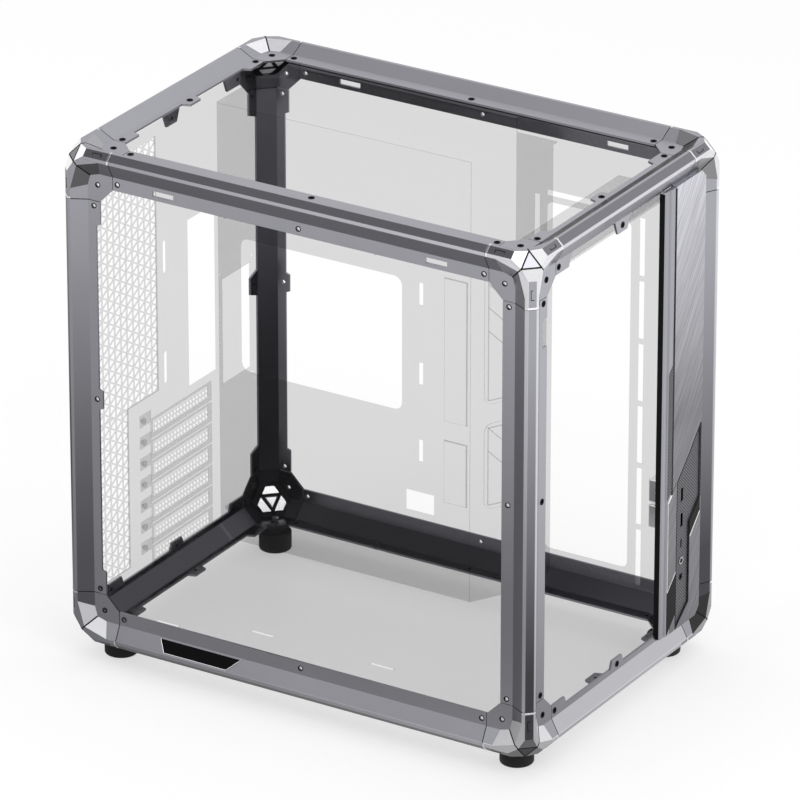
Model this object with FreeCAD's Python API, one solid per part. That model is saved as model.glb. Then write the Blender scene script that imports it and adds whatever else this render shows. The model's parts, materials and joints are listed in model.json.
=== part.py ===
import FreeCAD, Part
import os
from math import cos, pi, sin, sqrt, tan

Vector = FreeCAD.Vector

# Overall size of the frame without the feet
frame_width = 314.0
frame_depth = 466.0
frame_height = 464.0
foot_lift = 18.0

# Beam section, measured inward from the sharp outer edge
edge_chamfer = 5.4
ridge_width = 3.0
slope_run = 13.4
face_recess = 7.0
flange_reach = 12.0
wall = 2.0
lip_reach = 5.0
narrow_reach = 8.0

# Facets of repeated round features
hole_sides = 6
post_sides = 10
foot_sides = 20
corner_steps = 3
end_rounding = 0.45

# Holes, slots and tabs of the flanges
hole_radius = 2.1
end_hole = 52.0
tab_length = 26.0
tab_slant = 5.0
flange_slot_centre = 98.0
flange_slot_length = 21.0
flange_slot_height = 5.0
pillar_notch_start = 66.0
pillar_notch_length = 26.0

# Corner castings
corner_arm = 47.0
seam_gap = 0.6
tenon_length = 12.0
tenon_start = 4.6
tenon_end = 11.9
facet_reach = 12.0
facet_run = 22.0
bridge_reach = 15.0
core_reach = 62.0
gusset_hole = 32.0
groove_width = 0.9
groove_depth = 0.8
cap_margin = 1.2
cap_thickness = 2.0
cap_groove = 1.2

# Feet
foot_radius = 15.0
foot_neck_radius = 9.0
foot_bevel = 1.5
foot_screw_radius = 1.9
foot_screw_depth = 12.0
screw_head_radius = 3.5
screw_head_height = 2.4

# Sheet parts
sheet = 1.2
fine_sheet = 0.8
sheet_margin = 0.8
corner_clearance = 3.0
touch_gap = 0.1

# Rear panel openings
io_offset = 48.4
io_width = 44.45
io_bottom = 174.5
io_height = 158.75
slot_pitch = 20.32
slot_count = 7
slot_top_centre = 158.0
slot_opening_height = 12.7
slot_offset = 107.0
slot_opening_length = 89.0
cover_height = 18.4
cover_overlap = 4.0
cover_tab_length = 17.0
cover_screw_offset = 16.7
cover_screw_rise = 12.5
cover_tab_half = 5.6
vent_width = 2.4
vent_count = 3
vent_rib = 4.0
vent_row_gap = 4.6
slot_screw_radius = 1.6
slot_screw_clearance = 0.3
slot_screw_head = 3.2
slot_screw_head_height = 1.8
fan_offset = 137.4
fan_centre_bottom = 259.6
fan_hole_spacing = 105.0
fan_slot_length = 31.0
fan_slot_width = 5.5
psu_width = 51.5
psu_height = 113.0
psu_bottom = 150.0
psu_hole_radius = 1.75
psu_margin = 2.2
psu_edge = 6.0
psu_inset = 3.0

# Rear vent mesh
mesh_left = 36.0
mesh_offset = 98.0
mesh_narrow_offset = 39.0
mesh_bottom = 38.0
mesh_step = 190.0
mesh_top_margin = 34.0
mesh_side = 27.5
mesh_strut = 1.8
mesh_rim = 4.0

# Motherboard tray and its cutouts
chamber_width = 88.0
tray_length = 269.0
tray_top = 37.2
cooler_rear = 33.5
cooler_length = 166.5
cooler_bottom = 177.5
cooler_height = 127.0
cooler_radius = 8.0
tie_offset = 47.5
tie_width = 4.5
tie_height = 21.0
tie_bottoms = (282.5, 207.0, 133.5)
cable_offset = 36.0
cable_length = 29.0
cable_bottom = 84.5
cable_height = 19.5
channel_offset = 4.0
channel_width = 22.5
channel_depth = 8.0
channel_margin = 4.0
upper_channel_bottom = 178.0
upper_channel_height = 135.0
lower_channel_bottom = 100.0
lower_channel_height = 59.0
board_rows_top = 325.0
board_row_spans = (0.0, 281.94)
board_column_rear = 21.7
board_column_span = 154.94
standoff_height = 6.35
standoff_radius = 2.9
standoff_bore = 1.4

# Angled wall and side fan bracket
wall_end_right = 18.0
wall_advance = 40.0
wall_window_margin = 14.0
wall_window_radius = 8.0
upper_window_bottom = 196.0
upper_window_height = 140.0
lower_window_bottom = 96.0
lower_window_height = 82.0
bracket_front = 51.6
bracket_length = 146.4
rail_width = 31.0
rail_slot_inset = 20.2
rail_slot_width = 5.5
rail_slot_count = 6
rail_slot_gap = 4.8
rail_slot_start = 26.0
rail_slot_end = 375.0
bay_bottom = 40.0
bay_height = 330.0
bay_radius = 6.0

# Roof, floor and front bracket
roof_lip = 13.0
floor_slit_length = 18.0
floor_slit_width = 3.0
floor_slit_left = 80.0
floor_slit_fronts = (195.5, 321.0)
bracket_shelf_front = 68.0
bracket_drop = 31.0

# Front strip
strip_width = 68.1
strip_front = 3.0
strip_chamfer = 7.0
strip_groove = 0.7
rail_land = 17.2
rail_step = 1.0
rail_bevel = 3.0
rail_tongue = 5.0
inset_depth = 1.0
inset_clearance = 0.2
inset_offset = 26.7
inset_top = 163.0
inset_shoulder = 22.0
inset_right_top = 205.0
inset_right_bottom = 136.0
inset_foot = 19.0
port_offset = 36.7
port_clearance = 0.2
usb_width = 5.8
usb_height = 13.6
usb_wall = 0.6
usb_tongue = 1.8
usb_depth = 27.0
usb_socket = 9.0
usb_upper_bottom = 147.7
usb_lower_bottom = 123.6
small_width = 3.4
small_height = 9.0
small_depth = 12.0
small_bottom = 101.4
collar = 1.6
collar_thickness = 1.6
jack_radius = 3.3
jack_bore = 1.75
jack_depth = 14.0
jack_bottom = 69.4
button_radius = 3.6
button_clearance = 0.25
button_rise = 0.6
button_flange = 1.1
button_flange_thickness = 1.0
button_travel = 1.0
button_bottom = 85.0
switch_wall = 1.4
switch_depth = 12.0

# Nameplate
plate_rear = 91.0
plate_length = 82.0
plate_front_slant = 12.0
plate_rear_slant = 6.0
plate_thickness = 0.8
plate_margin = 1.8

# Sizes that follow from those above
ridge_end = edge_chamfer + ridge_width
nose_reach = ridge_end + slope_run
flange_end = nose_reach + flange_reach
flange_back = face_recess + wall
hole_line = nose_reach + flange_reach / 2
web_reach = nose_reach + flange_back
sheet_edge = nose_reach + sheet_margin
sheet_back = flange_back + sheet
tray_left = frame_width - chamber_width
tray_front = frame_depth - tray_length
io_left = tray_left - io_offset
slot_opening_left = tray_left - slot_offset
cover_screw_left = slot_opening_left - cover_screw_offset
fan_centre_left = tray_left - fan_offset
mesh_right = tray_left - mesh_offset
mesh_narrow_right = slot_opening_left - mesh_narrow_offset
mesh_top = frame_height - mesh_top_margin
tie_front = tray_front + tie_offset
cable_front = tray_front + cable_offset
channel_front = tray_front + channel_offset
wall_end_left = frame_width - wall_end_right
wall_end_front = tray_front - wall_advance
plate_front = frame_depth - plate_rear - plate_length
strip_left = frame_width - sheet_edge - strip_width
inset_left = strip_left + inset_offset
port_left = strip_left + port_offset


# Places measured from the six outer faces of the frame
def left(distance):
    return -frame_width / 2 + distance


def right(distance):
    return frame_width / 2 - distance


def front(distance):
    return -frame_depth / 2 + distance


def rear(distance):
    return frame_depth / 2 - distance


def bottom(distance):
    return foot_lift + distance


def top(distance):
    return foot_lift + frame_height - distance


FACES = {
    "left": (0, left, frame_width),
    "right": (0, right, frame_width),
    "front": (1, front, frame_depth),
    "rear": (1, rear, frame_depth),
    "bottom": (2, bottom, frame_height),
    "top": (2, top, frame_height),
}


def spot(**distances):
    """Point at the given distances inside three named outer faces."""
    place = [0.0, 0.0, 0.0]
    for face, distance in distances.items():
        axis, locate, _ = FACES[face]
        place[axis] = locate(distance)
    return Vector(*place)


def inward(face, distance):
    """Vector of the given length pointing into the frame from a face."""
    axis, locate, _ = FACES[face]
    sweep = [0.0, 0.0, 0.0]
    sweep[axis] = locate(distance) - locate(0.0)
    return Vector(*sweep)


# Solids and outlines
def loop(points):
    return Part.makePolygon(points + points[:1])


def prism(points, sweep):
    return Part.Face(loop(points)).extrude(sweep)


def plate(outline, holes, sweep):
    """Flat plate from an outline wire with hole wires, swept to a solid."""
    face = Part.makeFace([outline] + holes, "Part::FaceMakerBullseye")
    return face.extrude(sweep)


def closed(outlines):
    """Solid bounded by flat faces with the given corner points."""
    solid = Part.Solid(Part.Shell([Part.Face(loop(points)) for points in outlines]))
    if solid.Volume < 0:
        solid.reverse()
    return solid


def tetra(points):
    return closed([[p for p in points if p is not skipped] for skipped in points])


def frustum(lower, upper):
    """Solid between two outlines whose matching edges are parallel."""
    sides = []
    for i in range(len(lower)):
        sides.append([lower[i - 1], lower[i], upper[i], upper[i - 1]])
    return closed([lower, upper] + sides)


def joined(first, others):
    return first.fuse(others).removeSplitter()


def rounded(points, radius):
    """Outline with every corner of the points rounded by short chords."""
    corners = []
    count = len(points)
    for i in range(count):
        before = (points[i - 1] - points[i]).normalize()
        after = (points[(i + 1) % count] - points[i]).normalize()
        half = before.getAngle(after) / 2
        middle = points[i] + (before + after).normalize() * (radius / sin(half))
        first = points[i] + before * (radius / tan(half)) - middle
        sweep = pi - 2 * half
        for step in range(corner_steps + 1):
            turn = sweep * step / corner_steps
            side = (before * -1.0) * (radius * sin(turn))
            corners.append(middle + first * cos(turn) + side)
    return loop(corners)


def circle_points(centre, normal, radius, sides):
    """Corners of a regular polygon that stands for a round outline."""
    upright = Vector(0, 0, 1) if abs(normal.z) < normal.Length / 2 else Vector(0, 1, 0)
    across = normal.cross(upright).normalize()
    upright = across.cross(normal).normalize()
    points = []
    for i in range(sides):
        turn = 2 * pi * (i + 0.5) / sides
        points.append(centre + across * (radius * cos(turn)) + upright * (radius * sin(turn)))
    return points


def polygon(centre, normal, radius, sides):
    return loop(circle_points(centre, normal, radius, sides))


def post(centre, sweep, radius, sides=post_sides):
    return Part.Face(polygon(centre, sweep, radius, sides)).extrude(sweep)


def rod(centre, sweep, radius):
    return Part.makeCylinder(radius, sweep.Length, centre, sweep)


def shrunk(points, distance):
    """Convex outline moved inward by a distance, for counterclockwise points."""
    result = list(points)
    count = len(points)
    for i in range(count):
        ax, ay = points[i]
        bx, by = points[(i + 1) % count]
        length = sqrt((bx - ax) ** 2 + (by - ay) ** 2)
        nx, ny = -(by - ay) / length, (bx - ax) / length
        depths = [(x - ax) * nx + (y - ay) * ny - distance for x, y in result]
        kept = []
        for j in range(len(result)):
            here, there = depths[j - 1], depths[j]
            if here * there < 0:
                share = here / (here - there)
                px, py = result[j - 1]
                qx, qy = result[j]
                kept.append((px + (qx - px) * share, py + (qy - py) * share))
            if there >= 0:
                kept.append(result[j])
        result = kept
    return result


# Beam section outline in distances from its two outer faces
nose_outline = [
    (flange_back, nose_reach),
    (face_recess, nose_reach),
    (0.0, ridge_end),
    (0.0, edge_chamfer),
    (edge_chamfer, 0.0),
    (ridge_end, 0.0),
    (nose_reach, face_recess),
    (nose_reach, flange_back),
]


def hole_post(centre, sweep, radius):
    return post(centre, sweep, radius, hole_sides)


def flange(side, edge, end, reach, tabs, gaps=(), mating=False):
    """Flange on one side of a beam with tabs, screw holes and gaps."""
    length = FACES[end][2]
    start = corner_arm + seam_gap
    root = nose_reach - wall / 2

    def at(across, along):
        return spot(**{side: face_recess, edge: across, end: along})

    def strip(near, far, reach_end, slant_near, slant_far):
        return prism(
            [
                at(root, near),
                at(root, far),
                at(reach_end, far - slant_far),
                at(reach_end, near + slant_near),
            ],
            inward(side, wall),
        )

    pieces = []
    if reach:
        pieces.append(strip(start, length - start, nose_reach + reach, 0.0, 0.0))
    if tabs:
        middle = length / 2
        reach_end = flange_end
        pieces.append(strip(start, start + tab_length, reach_end, 0.0, tab_slant))
        half = tab_length / 2
        pieces.append(strip(middle - half, middle + half, reach_end, tab_slant, tab_slant))
        last = length - start
        pieces.append(strip(last - tab_length, last, reach_end, tab_slant, 0.0))
    body = pieces[0] if len(pieces) == 1 else joined(pieces[0], pieces[1:])
    cuts = []
    if tabs or reach >= flange_reach:
        for along in (end_hole, length / 2, length - end_hole):
            drill = rod if mating and along != length / 2 else hole_post
            cuts.append(drill(at(hole_line, along), inward(side, wall), hole_radius))
    for near, far, low, high in gaps:
        cuts.append(
            prism(
                [at(low, near), at(low, far), at(high, far), at(high, near)],
                inward(side, wall),
            )
        )
    return body.cut(cuts) if cuts else body


def beam(sides, end, flanges):
    """Hollow beam between two outer faces with the given flanges."""
    first, second = sides
    start = corner_arm + seam_gap
    sweep = inward(end, FACES[end][2] - 2 * start)

    def section(points):
        return [spot(**{first: a, second: b, end: start}) for a, b in points]

    nose = prism(section(nose_outline), sweep)
    hollow = prism(section(shrunk(nose_outline, wall)), sweep)
    return joined(nose.cut(hollow), flanges) if flanges else nose.cut(hollow)


def slot_gaps(length):
    """Two slots along a side flange, the same distance from both ends."""
    low = hole_line - flange_slot_height / 2
    high = hole_line + flange_slot_height / 2
    half = flange_slot_length / 2
    gaps = []
    for centre in (flange_slot_centre, length - flange_slot_centre):
        gaps.append((centre - half, centre + half, low, high))
    return gaps


parts = {}

# Long side beams
for side in ("left", "right"):
    upper = [
        flange(side, "top", "front", flange_reach, False, slot_gaps(frame_depth), side == "left"),
        flange("top", side, "front", flange_reach, False),
    ]
    parts["beam_top_" + side] = beam((side, "top"), "front", upper)
    lower = [
        flange(side, "bottom", "front", flange_reach, False, (), side == "left"),
        flange("bottom", side, "front", flange_reach, False),
    ]
    parts["beam_bottom_" + side] = beam((side, "bottom"), "front", lower)

# Cross beams with tabs
for side in ("front", "rear"):
    for level in ("top", "bottom"):
        own_lip = lip_reach if level == "bottom" else 0.0
        wings = [
            flange(side, level, "left", own_lip, True),
            flange(level, side, "left", lip_reach, True),
        ]
        parts["beam_" + level + "_" + side] = beam((side, level), "left", wings)

# Pillars
notch_end = frame_height - pillar_notch_start
pillar_notch = (
    notch_end - pillar_notch_length,
    notch_end,
    nose_reach + lip_reach,
    flange_end + wall,
)
for side in ("left", "right"):
    wings = [
        flange(side, "front", "bottom", flange_reach, False),
        flange("front", side, "bottom", flange_reach, False, [pillar_notch]),
    ]
    parts["pillar_front_" + side] = beam((side, "front"), "bottom", wings)
    wings = [
        flange(side, "rear", "bottom", narrow_reach, True),
        flange("rear", side, "bottom", 0.0, True),
    ]
    parts["pillar_rear_" + side] = beam((side, "rear"), "bottom", wings)


# Corner casting, built once in the front left bottom corner
def at(a, b, c):
    return spot(left=a, front=b, bottom=c)


def turned(order, a, b, c):
    """Point with its three distances moved on to the next faces."""
    values = (a, b, c)
    return at(*[values[(i - order) % 3] for i in range(3)])


def run(order, length):
    """Vector along the arm that the turned third distance follows."""
    return turned(order, 0.0, 0.0, length) - at(0.0, 0.0, 0.0)


arm_outline = [
    (0.0, 0.0),
    (nose_reach, 0.0),
    (nose_reach, flange_back),
    (flange_back, nose_reach),
    (0.0, nose_reach),
]
arms = []
for order in range(3):
    points = [turned(order, a, b, 0.0) for a, b in arm_outline]
    arms.append(prism(points, run(order, corner_arm)))
core = tetra([at(0, 0, 0), at(core_reach, 0, 0), at(0, core_reach, 0), at(0, 0, core_reach)])
limit = prism(
    [at(0, 0, 0), at(corner_arm, 0, 0), at(corner_arm, corner_arm, 0), at(0, corner_arm, 0)],
    run(0, corner_arm),
)
casting = arms[0].fuse(arms[1:] + [core.common(limit)])

# Recess on each outer face, with a sloped bridge across the corner
bridge_top = 2 * bridge_reach
bridge_floor = bridge_top + slope_run * sqrt(2)
far_reach = core_reach + corner_arm
facet_slope = (facet_reach - edge_chamfer) / (facet_run - facet_reach)
facet_sum = facet_reach * (1 + facet_slope)
cutters = []
for order in range(3):
    levels = []
    for level, edge, bridge in ((0.0, ridge_end, bridge_top), (face_recess, nose_reach, bridge_floor)):
        outline = [
            (edge, far_reach),
            (edge, bridge - edge),
            (bridge - edge, edge),
            (far_reach, edge),
            (far_reach, far_reach),
        ]
        levels.append([turned(order, p, q, level) for p, q in outline])
    cutters.append(frustum(*levels))
    edge_cut = [(0.0, 0.0), (edge_chamfer, 0.0), (0.0, edge_chamfer)]
    points = [turned(order, a, b, 0.0) for a, b in edge_cut]
    cutters.append(prism(points, run(order, far_reach)))
    facet_end = facet_sum / facet_slope
    cutters.append(
        tetra(
            [
                at(0, 0, 0),
                turned(order, facet_sum, 0, 0),
                turned(order, 0, facet_sum, 0),
                turned(order, 0, 0, facet_end),
            ]
        )
    )
tip = 2 * facet_reach
cutters.append(tetra([at(0, 0, 0), at(tip, 0, 0), at(0, tip, 0), at(0, 0, tip)]))

# Grooves along the edges of the triangular facet and the face diagonals
outward = (at(0, 0, 0) - at(1, 1, 1)).normalize()
for order in range(3):
    first = turned(order, facet_reach, 0.0, facet_reach)
    second = turned(order, 0.0, facet_reach, facet_reach)
    along = second - first
    across = outward.cross(along).normalize() * (groove_width / 2)
    deep = outward * groove_depth
    corners = [first - across - deep, first + across - deep, first + across + deep, first - across + deep]
    cutters.append(prism(corners, along))
    aside = groove_width / 2 / sqrt(2)
    floor_half = bridge_floor / 2
    profile = [
        (facet_reach, -groove_depth),
        (facet_reach, groove_depth),
        (bridge_reach, groove_depth),
        (floor_half, face_recess + groove_depth),
        (floor_half, -groove_depth),
    ]
    corners = [turned(order, t - aside, t + aside, depth) for t, depth in profile]
    sideways = turned(order, aside, -aside, 0.0) - turned(order, -aside, aside, 0.0)
    cutters.append(prism(corners, sideways))
casting = casting.cut(cutters)

# Gusset flanges with a screw hole, and tenons for the beams
additions = []
root = nose_reach - wall / 2
for order in range(3):
    outline = [
        (root, corner_arm),
        (root, bridge_floor - root),
        (bridge_floor - root, root),
        (corner_arm, root),
        (corner_arm, flange_end),
        (flange_end, corner_arm),
    ]
    points = [turned(order, p, q, face_recess) for p, q in outline]
    hole_centre = turned(order, gusset_hole, gusset_hole, face_recess)
    hole = polygon(hole_centre, run(order, 1.0), hole_radius, hole_sides)
    additions.append(plate(loop(points), [hole], run(order, wall)))
    tenon = [
        (tenon_start, tenon_start),
        (tenon_end, tenon_start),
        (tenon_end, tenon_end),
        (tenon_start, tenon_end),
    ]
    points = [turned(order, p, q, corner_arm - wall) for p, q in tenon]
    additions.append(prism(points, run(order, wall + seam_gap + tenon_length)))
casting = joined(casting, additions)

# Facet plate on the inner side of the casting
cap_low = flange_back + cap_margin
cap_high = nose_reach - cap_margin
cap_third = core_reach - cap_low - cap_high
cap_points = [
    at(cap_low, cap_high, cap_third),
    at(cap_low, cap_third, cap_high),
    at(cap_high, cap_third, cap_low),
    at(cap_third, cap_high, cap_low),
    at(cap_third, cap_low, cap_high),
    at(cap_high, cap_low, cap_third),
]
cap = prism(cap_points, outward * -cap_thickness)
cap_middle = core_reach / 3
cap_top = outward * -(cap_thickness - groove_depth)
cap_heart = (cap_middle + cap_low) / 2
triangle = []
inner_triangle = []
for order in range(3):
    side_value = (core_reach - cap_heart) / 2
    corner = turned(order, side_value, side_value, cap_heart) + cap_top
    middle = at(cap_middle, cap_middle, cap_middle) + cap_top
    triangle.append(corner)
    inner_triangle.append(corner + (middle - corner).normalize() * cap_groove)
cap_cut = plate(loop(triangle), [loop(inner_triangle)], outward * -cap_thickness)
cap = cap.cut(cap_cut)

# The eight castings and their facet plates by mirroring
middle_height = Vector(0, 0, foot_lift + frame_height / 2)


def mirrored(shape, side, end, level):
    if side == "right":
        shape = shape.mirror(Vector(), Vector(1, 0, 0))
    if end == "rear":
        shape = shape.mirror(Vector(), Vector(0, 1, 0))
    if level == "top":
        shape = shape.mirror(middle_height, Vector(0, 0, 1))
    return shape


caps = []
for level in ("top", "bottom"):
    for end in ("front", "rear"):
        for side in ("left", "right"):
            parts["corner_" + level + "_" + end + "_" + side] = mirrored(casting, side, end, level)
            caps.append(mirrored(cap, side, end, level))
parts["inner_corner_caps"] = Part.makeCompound(caps)

# Feet with necks that reach the bottom gussets
gusset_under = bottom(face_recess)
gusset_over = bottom(flange_back)
pad_top = bottom(-seam_gap)
upward = Vector(0, 0, 1)
sole = frustum(
    circle_points(Vector(), upward, foot_radius - foot_bevel, foot_sides),
    circle_points(upward * foot_bevel, upward, foot_radius, foot_sides),
)
pad = post(upward * foot_bevel, upward * (pad_top - foot_bevel), foot_radius, foot_sides)
neck = post(Vector(0, 0, pad_top), Vector(0, 0, gusset_under - pad_top), foot_neck_radius)
shank_base = Vector(0, 0, gusset_under - foot_screw_depth)
shank = hole_post(shank_base, Vector(0, 0, gusset_over - shank_base.z), foot_screw_radius)
foot = joined(sole, [pad, neck]).cut(shank)
head = hole_post(Vector(0, 0, gusset_over), Vector(0, 0, screw_head_height), screw_head_radius)
foot_screw = joined(shank, [head])
foot_screws = []
for end in ("front", "rear"):
    for side in ("left", "right"):
        place = spot(**{side: gusset_hole, end: gusset_hole})
        parts["foot_" + end + "_" + side] = foot.translated(place)
        foot_screws.append(foot_screw.translated(place))
parts["foot_screws"] = Part.makeCompound(foot_screws)

# Nameplate lying on the slope of the bottom left beam
slope_length = sqrt(slope_run ** 2 + face_recess ** 2)
slope_across = face_recess / slope_length
slope_up = slope_run / slope_length


def on_slope(reach, along):
    return spot(left=slope_across * reach, bottom=ridge_end + slope_up * reach, front=along)


plate_end = plate_front + plate_length
plate_outline = [
    on_slope(plate_margin, plate_front + plate_front_slant),
    on_slope(plate_margin, plate_end - plate_rear_slant),
    on_slope(slope_length - plate_margin, plate_end),
    on_slope(slope_length - plate_margin, plate_front),
]
plate_lift = inward("left", -slope_up * plate_thickness) + inward("bottom", slope_across * plate_thickness)
parts["nameplate"] = prism(plate_outline, plate_lift)


# Sheet outlines
def rear_point(across, up, deep=flange_back):
    return spot(left=across, bottom=up, rear=deep)


def rear_box(across, up, width, height, deep=flange_back):
    return [
        rear_point(across, up, deep),
        rear_point(across + width, up, deep),
        rear_point(across + width, up + height, deep),
        rear_point(across, up + height, deep),
    ]


def cut_rectangle(low, high_across, high_up, cut):
    """Corner distances of a rectangle with its four corners cut off."""
    return [
        (low + cut, low),
        (high_across - cut, low),
        (high_across, low + cut),
        (high_across, high_up - cut),
        (high_across - cut, high_up),
        (low + cut, high_up),
        (low, high_up - cut),
        (low, low + cut),
    ]


# Rear panel
rear_normal = inward("rear", 1.0)
panel_cut = core_reach - sheet_back + corner_clearance - 2 * sheet_edge
panel_outline = cut_rectangle(sheet_edge, frame_width - sheet_edge, frame_height - sheet_edge, panel_cut)
panel_holes = [loop(rear_box(io_left, io_bottom, io_width, io_height))]
mesh_outline = [
    (mesh_left, mesh_bottom),
    (mesh_narrow_right, mesh_bottom),
    (mesh_narrow_right, mesh_step),
    (mesh_right, mesh_step),
    (mesh_right, mesh_top),
    (mesh_left, mesh_top),
]
panel_holes.append(loop([rear_point(a, u) for a, u in mesh_outline]))
cover_centres = [slot_top_centre - slot_pitch * i for i in range(slot_count)]
for centre in cover_centres:
    base = centre - slot_opening_height / 2
    panel_holes.append(loop(rear_box(slot_opening_left, base, slot_opening_length, slot_opening_height)))
    screw = rear_point(cover_screw_left, centre + cover_screw_rise)
    panel_holes.append(polygon(screw, rear_normal, slot_screw_radius + slot_screw_clearance, hole_sides))
fan_right = fan_centre_left + fan_hole_spacing / 2
for shift in (-fan_hole_spacing / 2, fan_hole_spacing / 2):
    base = fan_centre_bottom + shift - fan_slot_length / 2
    slot = rear_box(fan_right - fan_slot_width / 2, base, fan_slot_width, fan_slot_length)
    panel_holes.append(rounded(slot, fan_slot_width * end_rounding))
psu_left = tray_left + sheet + psu_margin
for across in (psu_left, psu_left + psu_width):
    for up in (psu_bottom, psu_bottom + psu_height):
        panel_holes.append(polygon(rear_point(across, up), rear_normal, psu_hole_radius, hole_sides))
psu_waist = rear_box(
    psu_left + psu_inset,
    psu_bottom + psu_edge,
    psu_width - 2 * psu_inset,
    psu_height - 2 * psu_edge,
)
panel_holes.append(loop(psu_waist))
outline = loop([rear_point(a, u) for a, u in panel_outline])
parts["rear_panel"] = plate(outline, panel_holes, inward("rear", sheet))

# Vent mesh behind the rear panel with upright triangular gaps
rim_outline = [
    (mesh_left - mesh_rim, mesh_bottom - mesh_rim),
    (mesh_narrow_right + mesh_rim, mesh_bottom - mesh_rim),
    (mesh_narrow_right + mesh_rim, mesh_step - mesh_rim),
    (mesh_right + mesh_rim, mesh_step - mesh_rim),
    (mesh_right + mesh_rim, mesh_top + mesh_rim),
    (mesh_left - mesh_rim, mesh_top + mesh_rim),
]
column = mesh_side * sqrt(3) / 2
half_strut = mesh_strut / 2
gaps = []


def mesh_clip(points):
    """Part of a gap that lies inside the mesh area, as outlines."""
    face = Part.Face(loop([rear_point(a, u, sheet_back) for a, u in points]))
    area = Part.Face(loop([rear_point(a, u, sheet_back) for a, u in mesh_outline]))
    return [piece.OuterWire for piece in face.common(area).Faces]


column_count = int((mesh_right - mesh_left) / column) + 2
row_count = int((mesh_top - mesh_bottom) / mesh_side) + 3
for c in range(column_count):
    near = mesh_left + c * column
    far = near + column
    shift = 0.0 if c % 2 == 0 else mesh_side / 2
    for r in range(-1, row_count):
        base = mesh_bottom + r * mesh_side + shift
        pointing_far = [(near, base), (far, base + mesh_side / 2), (near, base + mesh_side)]
        pointing_near = [(near, base + mesh_side), (far, base + mesh_side / 2), (far, base + mesh_side * 1.5)]
        for triangle in (pointing_far, pointing_near):
            if (triangle[1][0] - triangle[0][0]) * (triangle[2][1] - triangle[0][1]) < (
                triangle[2][0] - triangle[0][0]
            ) * (triangle[1][1] - triangle[0][1]):
                triangle.reverse()
            gaps.extend(mesh_clip(shrunk(triangle, half_strut)))
gaps = [wire for wire in gaps if Part.Face(wire).Area > mesh_side]
outline = loop([rear_point(a, u, sheet_back) for a, u in rim_outline])
parts["rear_vent_mesh"] = plate(outline, gaps, inward("rear", fine_sheet))

# Expansion slot covers and their screws
cover_left = slot_opening_left - cover_overlap
cover_right = slot_opening_left + slot_opening_length + cover_overlap
cover_half = cover_height / 2
tab_low = cover_screw_rise - cover_tab_half
tab_high = cover_screw_rise + cover_tab_half
cover_sweep = inward("rear", fine_sheet)
slot_screws = []
for number, centre in enumerate(cover_centres, 1):
    tab_left = cover_left - cover_tab_length
    outline = [
        (cover_left, -cover_half),
        (cover_right, -cover_half),
        (cover_right, cover_half),
        (cover_left, cover_half),
        (cover_left, tab_high),
        (tab_left, tab_high),
        (tab_left, tab_low),
        (cover_left, tab_low),
    ]
    wire = loop([rear_point(a, centre + u, sheet_back) for a, u in outline])
    screw = rear_point(cover_screw_left, centre + cover_screw_rise, sheet_back)
    holes = [polygon(screw, rear_normal, slot_screw_radius + slot_screw_clearance, hole_sides)]
    vent_pitch = slot_opening_length / vent_count
    for i in range(vent_count):
        across = slot_opening_left + vent_pitch * i + vent_rib / 2
        for row in (-vent_row_gap / 2, vent_row_gap / 2):
            base = centre + row - vent_width / 2
            holes.append(loop(rear_box(across, base, vent_pitch - vent_rib, vent_width, sheet_back)))
    parts["slot_cover_%d" % number] = plate(wire, holes, cover_sweep)
    tip = rear_point(cover_screw_left, centre + cover_screw_rise, flange_back)
    shank = hole_post(tip, inward("rear", sheet + fine_sheet), slot_screw_radius)
    head_base = tip + inward("rear", sheet + fine_sheet)
    head = hole_post(head_base, inward("rear", slot_screw_head_height), slot_screw_head)
    slot_screws.append(joined(shank, [head]))
parts["slot_cover_screws"] = Part.makeCompound(slot_screws)


# Motherboard tray
def tray_point(along, up, across=tray_left):
    return spot(left=across, front=along, bottom=up)


def tray_box(along, up, length, height, across=tray_left):
    return [
        tray_point(along, up, across),
        tray_point(along + length, up, across),
        tray_point(along + length, up + height, across),
        tray_point(along, up + height, across),
    ]


floor_top = flange_back + sheet
tray_rear = frame_depth - sheet_back - touch_gap
tray_height = frame_height - tray_top
notch = web_reach + corner_clearance - sheet_back - floor_top
tray_outline = [
    tray_point(tray_front, floor_top),
    tray_point(tray_rear - notch, floor_top),
    tray_point(tray_rear, floor_top + notch),
    tray_point(tray_rear, tray_height),
    tray_point(tray_front, tray_height),
]
cooler_front = frame_depth - cooler_rear - cooler_length
tray_holes = [
    rounded(tray_box(cooler_front, cooler_bottom, cooler_length, cooler_height), cooler_radius),
    loop(tray_box(cable_front, cable_bottom, cable_length, cable_height)),
]
for base in tie_bottoms:
    tray_holes.append(loop(tray_box(tie_front, base, tie_width, tie_height)))
channels = (
    (upper_channel_bottom, upper_channel_height),
    (lower_channel_bottom, lower_channel_height),
)
for base, height in channels:
    tray_holes.append(loop(tray_box(channel_front, base, channel_width, height)))
parts["motherboard_tray"] = plate(loop(tray_outline), tray_holes, inward("left", sheet))

# Cable channel troughs behind the tray
trough_parts = []
tray_behind = tray_left + sheet
for base, height in channels:
    outer = tray_box(
        channel_front - channel_margin,
        base - channel_margin,
        channel_width + 2 * channel_margin,
        height + 2 * channel_margin,
        tray_behind,
    )
    inner = tray_box(channel_front, base, channel_width, height, tray_behind)
    shallow = tray_box(
        channel_front - sheet,
        base - sheet,
        channel_width + 2 * sheet,
        height + 2 * sheet,
        tray_behind,
    )
    brim = plate(loop(outer), [loop(inner)], inward("left", sheet))
    tub = prism(shallow, inward("left", channel_depth))
    tub = tub.cut(prism(inner, inward("left", channel_depth - sheet)))
    trough_parts.append(joined(brim, [tub]))
parts["cable_channel_upper"] = trough_parts[0]
parts["cable_channel_lower"] = trough_parts[1]

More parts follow.
